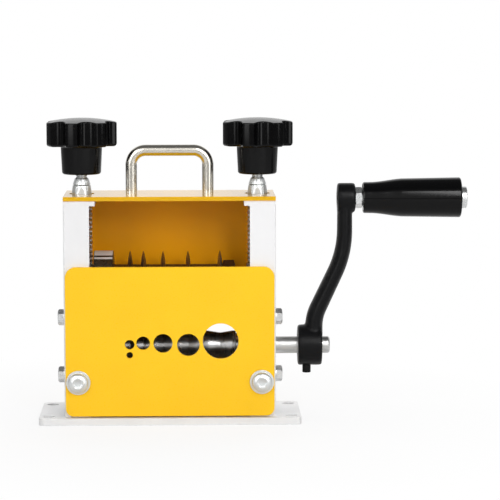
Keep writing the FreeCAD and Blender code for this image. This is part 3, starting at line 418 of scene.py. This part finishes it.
def hex_block(cells, across, inner, low, high, at, turn=UPRIGHT, low_chamfer=True, cone=None):
    """A nut or a bolt head, chamfered at the high end and, if asked, at the low end.

    A cone gives the radii that limit the corners at the low and at the high end instead.
    """
    reach = hexagon_reach(across)
    corner, face = across / math.sqrt(3), across / 2 * 0.965
    rise, lip, lip_in, steps = sizes().nut_chamfer, 0.0004, 0.0008, 8

    def limited(limit):
        return lambda angle: min(reach(angle), limit)

    def slope(start, stop, foot, top):
        return [(start + (stop - start) * step / steps,
                 limited(foot + (top - foot) * step / steps)) for step in range(steps + 1)]

    if cone:
        foot, top = cone
        rows = [(low, limited(foot - lip_in))] + slope(low + lip, high - lip, foot, top)
        rows.append((high, limited(top - lip_in)))
    else:
        rows = slope(low, low + rise, face, corner) if low_chamfer else [(low, reach)]
        rows += slope(high - rise, high, corner, face)
    rows = [(low, inner)] + rows + [(high, inner)]
    radial(cells, rows, hexagon_angles(16), at, turn, closed=inner > 1e-6)


def broken_edges(node, finish_name, body, edge):
    """A copy of a node with its triangles merged into faces and its sharp edges rounded."""
    cells = bmesh.new()
    cells.from_mesh(frame["nodes"][node].data)
    bmesh.ops.remove_doubles(cells, verts=cells.verts, dist=1e-6)
    bmesh.ops.dissolve_limit(cells, angle_limit=math.radians(0.5), verts=cells.verts,
                             edges=cells.edges)
    piece = piece_of(cells, f"{node}_piece", sharp=30)
    piece.modifiers.clear()
    bevel = piece.modifiers.new("broken_edges", "BEVEL")
    bevel.width = edge
    bevel.segments = 3
    bevel.limit_method = "ANGLE"
    bevel.angle_limit = math.radians(35)
    bevel.use_clamp_overlap = True
    bevel.miter_outer = "MITER_ARC"
    flatter = piece.modifiers.new("face_normals", "WEIGHTED_NORMAL")
    flatter.keep_sharp = False
    return settle(piece, finish_name, body, [node])


def turned_piece(name, corners, at, finish_name, body, replaced, record_slot=None, sharp=35,
                 **options):
    """A finished piece turned about an axis along X."""
    cells = bmesh.new()
    lathe(cells, corners, at, ALONG_X, **options)
    return settle(piece_of(cells, name, sharp), finish_name, body, replaced)


def part_finish(piece, finish_name, wanted):
    """Give a second finish to the faces of a piece that answer to a test."""
    piece.data.materials.append(FINISHES[finish_name])
    for face in piece.data.polygons:
        if wanted(face):
            face.material_index = 1


def box_of(node):
    """A node's low corner, high corner and middle."""
    low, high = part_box(node)
    return low, high, (low + high) / 2


# ---------------------------------------------------------------- operators

class StripperPiece:
    """Shared settings of the operators."""
    bl_options = {"REGISTER", "UNDO"}


class STRIPPER_OT_finishes(StripperPiece, bpy.types.Operator):
    """Make the shared shader groups and all materials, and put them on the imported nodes"""
    bl_idname = "stripper.finishes"
    bl_label = "Finishes"

    def execute(self, context):
        make_finishes()
        for entry in frame["record"]["subparts"]:
            mesh = frame["nodes"][entry["node"]].data
            mesh.materials.clear()
            mesh.materials.append(FINISHES[entry["material_slot"]])
        return {"FINISHED"}


class STRIPPER_OT_plates(StripperPiece, bpy.types.Operator):
    """Base plate, side channels, cap plates, guide plate and cover with broken edges"""
    bl_idname = "stripper.plates"
    bl_label = "Plates"

    def execute(self, context):
        edge = sizes().plate_edge
        broken_edges("base_plate", "base_steel", "frame", edge)
        guide = broken_edges("front_guide_plate", "yellow_paint", "frame", edge)
        part_finish(guide, "block_steel", lambda face: face.normal.y > 0.9)
        # Painted shade: the cover's outer faces wear a darker yellow than the guide plate.
        cover = broken_edges("top_cover", "shaded_cover_paint", "frame", edge)
        # Painted shade: its inner faces wear a darker, more orange yellow.
        part_finish(cover, "shaded_cover_inside", lambda face: face.normal.z < -0.9
                    or face.normal.y < -0.9 and face.center.y > 0)
        for side, _ in SIDES:
            broken_edges(f"{side}_side_channel", "silver_paint", "frame", edge)
            broken_edges(f"{side}_cap_plate", "silver_paint", "frame", edge)
        return {"FINISHED"}


class STRIPPER_OT_blocks(StripperPiece, bpy.types.Operator):
    """Milled lower blocks, sliding blocks and retainer plates"""
    bl_idname = "stripper.blocks"
    bl_label = "Blocks"

    def execute(self, context):
        edge = sizes().block_edge
        for side, _ in SIDES:
            broken_edges(f"{side}_lower_block", "block_steel", "frame", edge)
            broken_edges(f"{side}_sliding_block", "block_steel", "blade_carriage", edge)
            broken_edges(f"{side}_retainer_plate", "block_steel", "blade_carriage", edge / 2)
        return {"FINISHED"}


class STRIPPER_OT_front_bolts(StripperPiece, bpy.types.Operator):
    """Button-head bolts with hexagon sockets, and their washers, on the guide plate"""
    bl_idname = "stripper.front_bolts"
    bl_label = "Front bolts"

    def execute(self, context):
        low, high, middle = box_of("front_plate_bolts")
        wash_low, wash_high, _ = box_of("front_plate_washers")
        head, seat, tip = -low.y, -wash_low.y, -high.y
        radius, shank, socket_rim = (high.z - low.z) / 2, 0.0039, 0.0036
        socket, socket_floor = hexagon_reach(0.005), head - 0.0026
        washer = ring_profile(0.00415, (wash_high.z - wash_low.z) / 2, -wash_high.y, seat)
        rows = [(tip, ON_AXIS), (tip, shank), (seat, shank), (seat, radius)]
        rows += [(head - drop, radius * share) for share, drop in
                 ((1, 0.0021), (0.94, 0.0014), (0.8, 0.0007), (0.62, 0.0002))]
        rows += [(head, socket_rim), (head - 0.0003, socket), (socket_floor, socket),
                 (socket_floor - 0.0004, ON_AXIS)]
        bolts, washers = bmesh.new(), bmesh.new()
        for _, side in SIDES:
            at = Vector((side * (high.x - radius), 0, middle.z))
            radial(bolts, rows, hexagon_angles(12), at, TOWARDS_FRONT, closed=False)
            lathe(washers, washer, at, TOWARDS_FRONT)
        settle(piece_of(bolts, "front_bolt_pair"), "pale_zinc", "frame", ["front_plate_bolts"])
        settle(piece_of(washers, "front_washer_pair"), "pale_zinc", "frame",
               ["front_plate_washers"])
        return {"FINISHED"}


class STRIPPER_OT_side_bolts(StripperPiece, bpy.types.Operator):
    """Hexagon bolts and washers on the channels' outer faces"""
    bl_idname = "stripper.side_bolts"
    bl_label = "Side bolts"

    def execute(self, context):
        low, high, _ = box_of("side_bolts")
        seat = box_of("side_bolt_washers")[1].x
        shaft_z = box_of("crank_shaft")[2].z
        tip, shank = 0.0576, 0.003
        washer = ring_profile(0.00315, 0.006, seat - 0.0016, seat)
        bolts, washers = bmesh.new(), bmesh.new()
        for _, side in SIDES:
            turn = ALONG_X if side > 0 else ALONG_X @ Matrix.Rotation(math.pi, 3, "Y")
            for end in (-1, 1):
                at = Vector((0, 0, shaft_z + end * sizes().side_bolt_way))
                hex_block(bolts, high.y - low.y, ON_AXIS, seat, high.x, at, turn,
                          low_chamfer=False)
                lathe(bolts, [(ON_AXIS, tip), (shank, tip), (shank, seat)], at, turn,
                      closed=False)
                lathe(washers, washer, at, turn)
        settle(piece_of(bolts, "side_bolt_set"), "zinc_steel", "frame", ["side_bolts"])
        settle(piece_of(washers, "side_washer_set"), "zinc_steel", "frame", ["side_bolt_washers"])
        return {"FINISHED"}


class STRIPPER_OT_cap_nuts(StripperPiece, bpy.types.Operator):
    """The two tiers of nuts that the adjusting studs turn in"""
    bl_idname = "stripper.cap_nuts"
    bl_label = "Cap nuts"

    def execute(self, context):
        use, bore = sizes(), 0.00406
        for node, cone in (("cap_nuts", (use.nut_cone_low, use.nut_cone_middle)),
                           ("stop_nuts", (use.nut_cone_middle, use.nut_cone_top))):
            low, high, _ = box_of(node)
            cells = bmesh.new()
            for side, _ in SIDES:
                at = Vector((box_of(f"{side}_stud")[2].x, 0, 0))
                hex_block(cells, high.y - low.y, bore, low.z, high.z, at, cone=cone)
            settle(piece_of(cells, f"{node}_pair"), "pale_zinc", "frame", [node])
        return {"FINISHED"}


class STRIPPER_OT_studs(StripperPiece, bpy.types.Operator):
    """Threaded adjusting studs"""
    bl_idname = "stripper.studs"
    bl_label = "Studs"

    def execute(self, context):
        crest, root, pitch = 0.004, 0.00335, 0.00125
        foot, foot_height, neck, start = 0.0055, 0.0031, 0.003, 0.1095
        for side, _ in SIDES:
            low, high, middle = box_of(f"{side}_stud")
            rows = [(low.z, ON_AXIS), (low.z, foot), (low.z + foot_height, foot),
                    (low.z + foot_height, neck), (start, neck)]
            for coil in range(int((high.z - start) / pitch)):
                rows += [(start + (coil + share) * pitch, reach) for share, reach in
                         ((0, root), (0.45, crest), (0.55, crest))]
            rows += [(high.z, root), (high.z, ON_AXIS)]
            cells = bmesh.new()
            radial(cells, rows, even_angles(48), Vector((middle.x, 0, 0)), closed=False)
            settle(piece_of(cells, f"{side}_stud_piece"), "zinc_steel", f"{side}_knob",
                   [f"{side}_stud"])
        return {"FINISHED"}


class STRIPPER_OT_knobs(StripperPiece, bpy.types.Operator):
    """Moulded star knobs with rounded lobes and a low dome"""
    bl_idname = "stripper.knobs"
    bl_label = "Star knobs"

    def execute(self, context):
        for side, _ in SIDES:
            node = f"{side}_star_knob"
            low, high, _ = box_of(node)
            cells = bmesh.new()
            radial(cells, knob_rows(low.z, high.z, getattr(sizes(), f"{side}_knob")),
                   even_angles(7 * 36), Vector((box_of(f"{side}_stud")[2].x, 0, 0)))
            knob = settle(piece_of(cells, f"{node}_piece", sharp=50), "black_plastic",
                          f"{side}_knob", [node])
            part_finish(knob, "black_dome", lambda face: face.normal.z > 0.9
                        and face.center.z > high.z - sizes().knob_dome - 0.0005)
        return {"FINISHED"}


def knob_rows(low, top, phase):
    """Rows of a star knob from its underside cavity, up the hub and over the head."""
    use = sizes()
    head, waist, round_top = use.knob_head, use.knob_waist, use.knob_top_edge
    head_low = top - use.knob_head_height
    hole, hole_top, cavity, cavity_top = 0.00403, 0.199, 0.0095, 0.1805
    quarter = math.pi / 2

    def edge(angle):
        part = (angle - phase + FULL_TURN / 14) % (FULL_TURN / 7) - FULL_TURN / 14
        aside = use.knob_scallop_way * math.sin(part)
        span = use.knob_scallop ** 2 - aside ** 2
        notch = use.knob_scallop_way * math.cos(part) - math.sqrt(span) if span > 0 else 1.0
        blend = max(waist - abs(head - notch), 0) / waist
        return min(head, notch) - blend ** 2 * waist / 4

    def dome(reach):
        return top - use.knob_dome * (reach / head) ** 2

    def under(turn):
        inset = use.knob_low_edge * (1 - math.sin(turn))
        return (head_low + use.knob_low_edge * (1 - math.cos(turn)),
                lambda angle: edge(angle) - inset)

    def rim(turn):
        inset, drop = round_top * (1 - math.cos(turn)), round_top * (1 - math.sin(turn))
        return (lambda angle: dome(edge(angle) - round_top) - drop,
                lambda angle: edge(angle) - inset)

    def inside(share):
        return (lambda angle: dome((edge(angle) - round_top) * share),
                lambda angle: (edge(angle) - round_top) * share)

    rows = [(cavity_top, hole), (cavity_top, cavity), (low, cavity), (low, 0.0127),
            (low + 0.0004, 0.0133), (low + 0.0012, 0.01372), (head_low - 0.0012, 0.0145),
            (head_low - 0.0004, 0.0148), (head_low, 0.0156)]
    rows += [under(quarter * step / 5) for step in range(6)]
    rows += [rim(quarter * step / 5) for step in range(6)]
    rows += [inside(share) for share in (0.85, 0.65, 0.45, 0.25, 0.1)]
    rows += [(top, 1e-6), (hole_top, 1e-6), (hole_top, hole)]
    return rows


class STRIPPER_OT_springs(StripperPiece, bpy.types.Operator):
    """Coil springs of round wire, one on each side"""
    bl_idname = "stripper.springs"
    bl_label = "Springs"

    def execute(self, context):
        wire = sizes().spring_wire / 2
        for side, _ in SIDES:
            node = f"{side}_spring"
            low, high, middle = box_of(node)
            coil = (high.x - low.x) / 2 - wire
            start, stop = low.z + wire, high.z - wire
            coils = (stop - start) / sizes().spring_pitch
            count = int(coils * 36)
            path = []
            for step in range(count + 1):
                angle = FULL_TURN * coils * step / count
                path.append(Vector((middle.x + coil * math.cos(angle),
                                    middle.y + coil * math.sin(angle),
                                    start + (stop - start) * step / count)))
            cells = bmesh.new()
            tube(cells, path, wire, 12)
            spring = settle(piece_of(cells, f"{node}_piece", sharp=60), "spring_steel", None,
                            [node])
            spring.modifiers.clear()
            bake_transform(spring)
        return {"FINISHED"}


def tube(cells, path, radius, count):
    """A round rod along a path of points, with flat ends."""
    rings = []
    side = None
    for index, point in enumerate(path):
        ahead = (path[min(index + 1, len(path) - 1)] - path[max(index - 1, 0)]).normalized()
        if side is None:
            side = ahead.orthogonal().normalized()
        side = (side - ahead * side.dot(ahead)).normalized()
        other = ahead.cross(side)
        rings.append([cells.verts.new(point + side * radius * math.cos(angle)
                                      + other * radius * math.sin(angle))
                      for angle in even_angles(count)])
    for low, high in zip(rings, rings[1:]):
        for index in range(count):
            after = (index + 1) % count
            cells.faces.new((low[index], low[after], high[after], high[index]))
    cells.faces.new(rings[0])
    cells.faces.new(rings[-1])


class STRIPPER_OT_pull_handle(StripperPiece, bpy.types.Operator):
    """Polished rod bent twice, standing on the cover"""
    bl_idname = "stripper.pull_handle"
    bl_label = "Pull handle"

    def execute(self, context):
        low, high, _ = box_of("pull_handle")
        radius, bend, foot = (high.y - low.y) / 2, 0.010, 0.0004
        leg_x, bar_z = high.x - radius, high.z - radius
        path = [Vector((-leg_x, 0, low.z)), Vector((-leg_x, 0, low.z + foot))]
        for sign, angles in ((-1, range(0, 91, 3)), (1, range(90, -1, -3))):
            for degrees in angles:
                angle = math.radians(degrees)
                path.append(Vector((sign * (leg_x - bend + bend * math.cos(angle)), 0,
                                    bar_z - bend + bend * math.sin(angle))))
        path += [Vector((leg_x, 0, low.z + foot)), Vector((leg_x, 0, low.z))]
        cells = bmesh.new()
        tube(cells, path, radius, 48)
        rod = settle(piece_of(cells, "pull_rod", sharp=50), "polished_rod", "frame",
                     ["pull_handle"])
        rod.modifiers.clear()
        return {"FINISHED"}


class STRIPPER_OT_blades(StripperPiece, bpy.types.Operator):
    """Ground disc blades, the sleeves between them, the lock nut and the blade shaft"""
    bl_idname = "stripper.blades"
    bl_label = "Blades"

    def execute(self, context):
        bore, body = 0.01102, "blade_spindle"
        for order in range(1, 6):
            node = f"strip_blade_{order}"
            low, high, middle = box_of(node)
            outer, half = (high.z - low.z) / 2, (high.x - low.x) / 2
            bevel = [(0.016, 1), (0.0185, 0.88), (0.021, 0.67), (0.023, 0.42), (outer, 0.08)]
            corners = [(bore, -half)] + [(reach, -half * share) for reach, share in bevel]
            corners += [(reach, half * share) for reach, share in bevel[::-1]] + [(bore, half)]
            turned_piece(f"{node}_piece", corners, middle, "blade_steel", body, [node],
                         sharp=30, edge=0.0001, count=144)
            node = f"blade_spacer_{order}"
            low, high, middle = box_of(node)
            half = (high.x - low.x) / 2
            turned_piece(f"{node}_piece", ring_profile(bore, (high.z - low.z) / 2, -half, half),
                         middle, "dark_steel", body, [node])
        low, high, middle = box_of("blade_lock_nut")
        cells = bmesh.new()
        hex_block(cells, high.y - low.y, bore, low.x, high.x, Vector((0, 0, middle.z)), ALONG_X)
        settle(piece_of(cells, "blade_lock_nut_piece"), "blade_steel", body,
               ["blade_lock_nut"])
        seat_end = high.x
        low, high, middle = box_of("blade_shaft")
        journal, step, seat, rim, lip = 0.005, 0.007, 0.011, (high.z - low.z) / 2, 0.0004
        step_end, right = 0.0542, box_of("blade_spacer_1")[0].x
        left = right - 0.0138
        corners = [(ON_AXIS, low.x), (journal, low.x), (journal, -step_end), (step, -step_end),
                   (step, left), (rim - lip, left), (rim, left + lip), (rim, right - lip),
                   (rim - lip, right), (seat, right), (seat, seat_end), (step, seat_end),
                   (step, step_end), (journal, step_end), (journal, high.x), (ON_AXIS, high.x)]
        # The shaft is coloured as painted dark reflection, with painted bright reflection bands
        # six times round.
        shaft = turned_piece("blade_shaft_piece", corners, Vector((0, 0, middle.z)), "painted_dark_reflection",
                             body, ["blade_shaft"], "bright_steel", count=360, closed=False)
        part_finish(shaft, "painted_bright_reflection", in_painted_reflection_band)
        return {"FINISHED"}


def in_painted_reflection_band(face):
    """Whether a face of the blade shaft lies in a bright band of painted reflection, of which 60
    degrees hold two.
    """
    start, thin, broad = 38, (18, 23.5), (28, 60)
    way = (math.degrees(math.atan2(face.normal.z, -face.normal.y)) - start) % 60
    return abs(face.normal.x) < 0.1 and any(low < way < high for low, high in (thin, broad))


class STRIPPER_OT_roller(StripperPiece, bpy.types.Operator):
    """Grooved feed roller, crank shaft and the roller's collars"""
    bl_idname = "stripper.roller"
    bl_label = "Feed roller"

    def execute(self, context):
        low, high, middle = box_of("feed_roller")
        outer, bore, groove, chamfer = (high.z - low.z) / 2, 0.00602, 0.0013, 0.001
        axis = Vector((0, 0, middle.z))
        corners = [(bore, low.x), (outer, low.x)]
        for order, half in enumerate((0.003675, 0.004375, 0.005325, 0.005925, 0.00825), 1):
            at = box_of(f"strip_blade_{order}")[2].x
            corners += [(outer, at - half), (outer - groove, at), (outer, at + half)]
        corners += [(outer, high.x), (bore, high.x)]
        turned_piece("feed_roller_piece", corners, axis, "roller_steel", "drive_shaft",
                     ["feed_roller"], "dark_steel", sharp=12, count=144)
        roller_low, roller_high = low, high
        low, high, _ = box_of("crank_shaft")
        radius = (high.z - low.z) / 2
        turned_piece("crank_shaft_piece",
                     [(ON_AXIS, low.x), (radius, low.x), (radius, high.x - chamfer),
                      (radius - chamfer, high.x), (ON_AXIS, high.x)],
                     axis, "shaft_steel", "drive_shaft", ["crank_shaft"], "bright_steel",
                     closed=False)
        low, high, _ = box_of("roller_collars")
        outer = (high.z - low.z) / 2
        cells = bmesh.new()
        for start, stop in ((low.x, roller_low.x), (roller_high.x, high.x)):
            lathe(cells, ring_profile(bore, outer, start, stop), axis, ALONG_X)
        settle(piece_of(cells, "roller_collar_pair"), "bright_steel", "drive_shaft",
               ["roller_collars"])
        return {"FINISHED"}


class STRIPPER_OT_crank(StripperPiece, bpy.types.Operator):
    """Cast crank arm with softened joints, and its set screw"""
    bl_idname = "stripper.crank"
    bl_label = "Crank arm"

    def execute(self, context):
        cells = bmesh.new()
        cells.from_mesh(frame["nodes"]["crank_arm"].data)
        arm = piece_of(cells, "crank_arm_piece", sharp=180)
        arm.modifiers.clear()
        skin = arm.modifiers.new("cast_skin", "REMESH")
        skin.mode = "VOXEL"
        skin.voxel_size = sizes().casting_cell
        skin.use_smooth_shade = True
        soft = arm.modifiers.new("cast_corners", "SMOOTH")
        soft.factor = 0.5
        soft.iterations = 14
        swell = arm.modifiers.new("cast_swell", "DISPLACE")
        swell.strength = sizes().casting_swell
        swell.mid_level = 0
        settle(arm, "black_casting", "drive_shaft", ["crank_arm"])
        low, high, middle = box_of("crank_set_screw")
        cells = bmesh.new()
        reach, tip = (high.x - low.x) / 2, 0.0016
        lathe(cells, [(ON_AXIS, low.z), (tip, low.z), (reach, low.z), (reach, high.z),
                      (ON_AXIS, high.z)], Vector((middle.x, 0, 0)), edge=0.0012, closed=False)
        settle(piece_of(cells, "crank_set_screw_piece"), "black_casting", "drive_shaft",
               ["crank_set_screw"])
        return {"FINISHED"}


class STRIPPER_OT_handle(StripperPiece, bpy.types.Operator):
    """Handle spindle, its jam nut and the turning grip"""
    bl_idname = "stripper.handle"
    bl_label = "Handle"

    def execute(self, context):
        low, high, middle = box_of("handle_grip")
        axis = Vector((0, 0, middle.z))
        use = sizes()
        large, bore, lip = (high.z - low.z) / 2, 0.00506, 0.0012
        small, flare, edge = use.grip_small, use.grip_flare, use.grip_edge
        neck, grip_end = low.x + 0.004, high.x
        swell_end = low.x + use.grip_flare_way
        cells = bmesh.new()
        profile = [(bore, low.x), (small - lip, low.x), (small - lip / 4, low.x + lip / 3),
                   (small, low.x + lip), (small, neck)]
        for step in range(1, 9):
            share = step / 8
            swell = 0.5 - 0.5 * math.cos(math.pi * share * 0.86)
            profile.append((small + (flare - small) * swell / 0.95,
                            neck + (swell_end - neck) * share))
        for step in range(7):
            turn = math.pi / 2 * step / 6
            profile.append((large - edge * (1 - math.cos(turn)),
                            high.x - edge * (1 - math.sin(turn))))
        profile.append((bore, high.x))
        radial(cells, [(height, reach) for reach, height in profile], even_angles(96), axis,
               ALONG_X)
        settle(piece_of(cells, "grip_piece", sharp=40), "black_plastic", "grip", ["handle_grip"])
        low, high, _ = box_of("handle_spindle")
        head, thread_end = grip_end + 0.0003, box_of("handle_jam_nut")[1].x
        thread, sleeve, rim, socket_rim = 0.004, 0.005, 0.0077, 0.0036
        socket, socket_floor = hexagon_reach(0.006), high.x - 0.0034
        cells = bmesh.new()
        rows = [(low.x, ON_AXIS), (low.x, thread), (thread_end, thread), (thread_end, sleeve),
                (head, sleeve), (head, rim - 0.0004), (head + 0.0004, rim),
                (high.x - 0.0008, rim), (high.x - 0.0002, rim - 0.0003), (high.x, rim - 0.0009),
                (high.x, socket_rim), (high.x - 0.0002, socket), (socket_floor, socket),
                (socket_floor - 0.0002, ON_AXIS)]
        radial(cells, rows, hexagon_angles(12), axis, ALONG_X, closed=False)
        settle(piece_of(cells, "handle_spindle_piece"), "zinc_steel", "drive_shaft",
               ["handle_spindle"])
        low, high, _ = box_of("handle_jam_nut")
        cells = bmesh.new()
        hex_block(cells, high.y - low.y, thread + 0.00002, low.x, high.x, axis, ALONG_X)
        settle(piece_of(cells, "handle_jam_nut_piece"), "zinc_steel", "drive_shaft",
               ["handle_jam_nut"])
        return {"FINISHED"}


def cross_slot(deep):
    """Radius of a cross slot as a function of the angle."""
    half, quarter = 0.0005, math.pi / 2

    def reach(angle):
        part = angle % quarter - quarter / 2
        return half / max(math.sin(quarter / 2 - abs(part)), half / deep)
    return reach


class STRIPPER_OT_small_screws(StripperPiece, bpy.types.Operator):
    """Screws of the back panel, with cross slots"""
    bl_idname = "stripper.small_screws"
    bl_label = "Small screws"

    def execute(self, context):
        low, high, _ = box_of("rear_cover_screws")
        radius, shank, seat, head = 0.004, 0.002, high.y - 0.0026, high.y
        rows = [(low.y, ON_AXIS), (low.y, shank), (seat, shank), (seat, radius),
                (seat + 0.001, radius), (seat + 0.0018, radius * 0.92),
                (head - 0.0003, radius * 0.75), (head, cross_slot(0.0024)),
                (head - 0.0012, cross_slot(0.002)), (head - 0.0016, ON_AXIS)]
        cells = bmesh.new()
        for _, side in SIDES:
            for level in (low.z + radius, high.z - radius):
                radial(cells, rows, even_angles(64),
                       Vector((side * (high.x - radius), 0, level)), TOWARDS_BACK, closed=False)
        settle(piece_of(cells, "rear_screw_set"), "zinc_steel", "frame", ["rear_cover_screws"])
        return {"FINISHED"}


class STRIPPER_OT_stage(StripperPiece, bpy.types.Operator):
    """Floor, world, lamps and camera"""
    bl_idname = "stripper.stage"
    bl_label = "Stage"

    def execute(self, context):
        make_floor()
        make_world()
        make_lamps()
        make_camera()
        context.scene.view_settings.view_transform = "Standard"
        return {"FINISHED"}


# ---------------------------------------------------------------- stage

def make_floor():
    """A wide pale floor that keeps a faint shadow close to the object and is white further off."""
    cells = bmesh.new()
    reach = 6.0
    corners = [cells.verts.new((x, y, 0)) for x, y in
               ((-reach, -reach), (reach, -reach), (reach, reach), (-reach, reach))]
    cells.faces.new(corners)
    floor = piece_of(cells, "floor")
    paper = bpy.data.materials.new("paper")
    paper.use_nodes = True
    tree = paper.node_tree
    lit = tree.nodes["Principled BSDF"]
    lit.inputs["Base Color"].default_value = (0.75, 0.75, 0.75, 1)
    lit.inputs["Roughness"].default_value = 0.9
    place = tree.nodes.new("ShaderNodeTexCoord")
    away = node_in(tree, "ShaderNodeVectorMath", {"operation": "LENGTH"})
    share = node_in(tree, "ShaderNodeMapRange", From_Min=0.1, From_Max=0.3, To_Min=0.85,
                    To_Max=1.0)
    path = tree.nodes.new("ShaderNodeLightPath")
    part = node_in(tree, "ShaderNodeMath", {"operation": "MULTIPLY"})
    white = node_in(tree, "ShaderNodeEmission", Color=(1, 1, 1, 1), Strength=1.0)
    mix = tree.nodes.new("ShaderNodeMixShader")
    link_all(tree, ((place, "Object", away, 0), (away, "Value", share, "Value"),
                    (share, 0, part, 0), (path, "Is Camera Ray", part, 1), (part, 0, mix, 0),
                    (lit, 0, mix, 1), (white, 0, mix, 2),
                    (mix, 0, tree.nodes["Material Output"], "Surface")))
    floor.data.materials.append(paper)


def make_world():
    """Soft light from all round, darker overhead and at the sides so that metal has edges."""
    world = bpy.data.worlds.new("studio")
    bpy.context.scene.world = world
    world.use_nodes = True
    tree = world.node_tree
    plain = tree.nodes["Background"]
    plain.inputs["Color"].default_value = (1, 1, 1, 1)
    seen = node_in(tree, "ShaderNodeBackground", Color=(1, 1, 1, 1), Strength=1.0)
    place = tree.nodes.new("ShaderNodeTexCoord")
    split = tree.nodes.new("ShaderNodeSeparateXYZ")
    aside = node_in(tree, "ShaderNodeMath", {"operation": "ABSOLUTE"})
    across = node_in(tree, "ShaderNodeMapRange", From_Min=0.35, From_Max=0.95, To_Min=1.0,
                     To_Max=0.3)
    upward = node_in(tree, "ShaderNodeMapRange", From_Min=0.62, From_Max=0.8, To_Min=1.0,
                     To_Max=0.15)
    level = node_in(tree, "ShaderNodeMath", {"operation": "MULTIPLY"})
    path = tree.nodes.new("ShaderNodeLightPath")
    power = node_in(tree, "ShaderNodeMath", {"operation": "MULTIPLY_ADD"})
    mirrored_more, all_round = 0.65, 0.32
    power.inputs[1].default_value = mirrored_more
    power.inputs[2].default_value = all_round
    strength = node_in(tree, "ShaderNodeMath", {"operation": "MULTIPLY"})
    mix = tree.nodes.new("ShaderNodeMixShader")
    link_all(tree, ((place, "Generated", split, 0), (split, "X", aside, 0),
                    (aside, 0, across, "Value"), (split, "Z", upward, "Value"),
                    (across, 0, level, 0), (upward, 0, level, 1),
                    (path, "Is Glossy Ray", power, 0), (power, 0, strength, 0),
                    (level, 0, strength, 1), (strength, 0, plain, "Strength"),
                    (path, "Is Camera Ray", mix, 0), (plain, 0, mix, 1), (seen, 0, mix, 2),
                    (mix, 0, tree.nodes["World Output"], "Surface")))


def make_lamps():
    """Soft boxes, of which metal and plastic mirror only those in front."""
    aim = Vector((0.03, 0, 0.1))
    for name, place, width, height, power, mirrored in (
            ("key", (-0.8, -1.2, 0.7), 0.45, 1.3, 6.2, True),
            ("fill", (0.95, -1.2, 0.5), 0.4, 1.0, 3.7, True),
            ("streak", (0.45, -1.3, 0.82), 0.3, 0.75, 7.5, True),
            ("left_line", (-1.4, -0.5, 0.6), 0.1, 1.0, 1.5, True),
            ("middle_line", (-0.25, -1.4, 0.75), 0.06, 1.0, 1, True),
            ("right_line", (1.45, -0.45, 0.6), 0.1, 1.0, 1.5, True),
            ("top", (0.1, 0.2, 1.5), 1.2, 1.2, 11.5, False),
            ("back", (0.3, 1.6, 0.8), 1.2, 1.2, 16, False)):
        data = bpy.data.lights.new(name, "AREA")
        data.shape = "RECTANGLE"
        data.energy = power
        data.size = width
        data.size_y = height
        lamp = bpy.data.objects.new(name, data)
        lamp.location = place
        lamp.rotation_euler = (aim - Vector(place)).to_track_quat("-Z", "Y").to_euler()
        lamp.visible_glossy = mirrored
        bpy.context.scene.collection.objects.link(lamp)


def make_camera():
    """Long lens a little above the object, turned slightly to the crank."""
    data = bpy.data.cameras.new("camera")
    data.sensor_width = 36.0
    data.lens = 168.9
    data.clip_end = 20.0
    camera = bpy.data.objects.new("camera", data)
    camera.location = (0.0123, -1.6536, 0.2986)
    camera.rotation_euler = (math.radians(90 - 6.181), math.radians(0.069), math.radians(-1.548))
    bpy.context.scene.collection.objects.link(camera)
    bpy.context.scene.camera = camera


# ---------------------------------------------------------------- panel and run

STEPS = (STRIPPER_OT_finishes, STRIPPER_OT_plates, STRIPPER_OT_blocks, STRIPPER_OT_front_bolts,
         STRIPPER_OT_side_bolts, STRIPPER_OT_cap_nuts, STRIPPER_OT_studs, STRIPPER_OT_knobs,
         STRIPPER_OT_springs, STRIPPER_OT_pull_handle, STRIPPER_OT_blades, STRIPPER_OT_roller,
         STRIPPER_OT_crank, STRIPPER_OT_handle, STRIPPER_OT_small_screws, STRIPPER_OT_stage)


class STRIPPER_PT_panel(bpy.types.Panel):
    """Lists the settings and the steps, in order"""
    bl_idname = "STRIPPER_PT_panel"
    bl_label = "Wire stripper"
    bl_space_type = "VIEW_3D"
    bl_region_type = "UI"
    bl_category = "Stripper"

    def draw(self, context):
        for settings in (sizes(), colours()):
            column = self.layout.column()
            for name in settings.__annotations__:
                column.prop(settings, name)
        for step in STEPS:
            self.layout.operator(step.bl_idname)


CLASSES = (StripperSizes, StripperColours, *STEPS, STRIPPER_PT_panel)


def register():
    """Register the classes and attach the settings to the scene."""
    for item in CLASSES:
        bpy.utils.register_class(item)
    bpy.types.Scene.stripper_sizes = bpy.props.PointerProperty(type=StripperSizes)
    bpy.types.Scene.stripper_colours = bpy.props.PointerProperty(type=StripperColours)


def unregister():
    """Undo register."""
    del bpy.types.Scene.stripper_colours
    del bpy.types.Scene.stripper_sizes
    for item in reversed(CLASSES):
        bpy.utils.unregister_class(item)


def main():
    """Make every piece in order."""
    register()
    for step in STEPS:
        family, name = step.bl_idname.split(".")
        getattr(getattr(bpy.ops, family), name)()


if __name__ == "__main__":
    main()
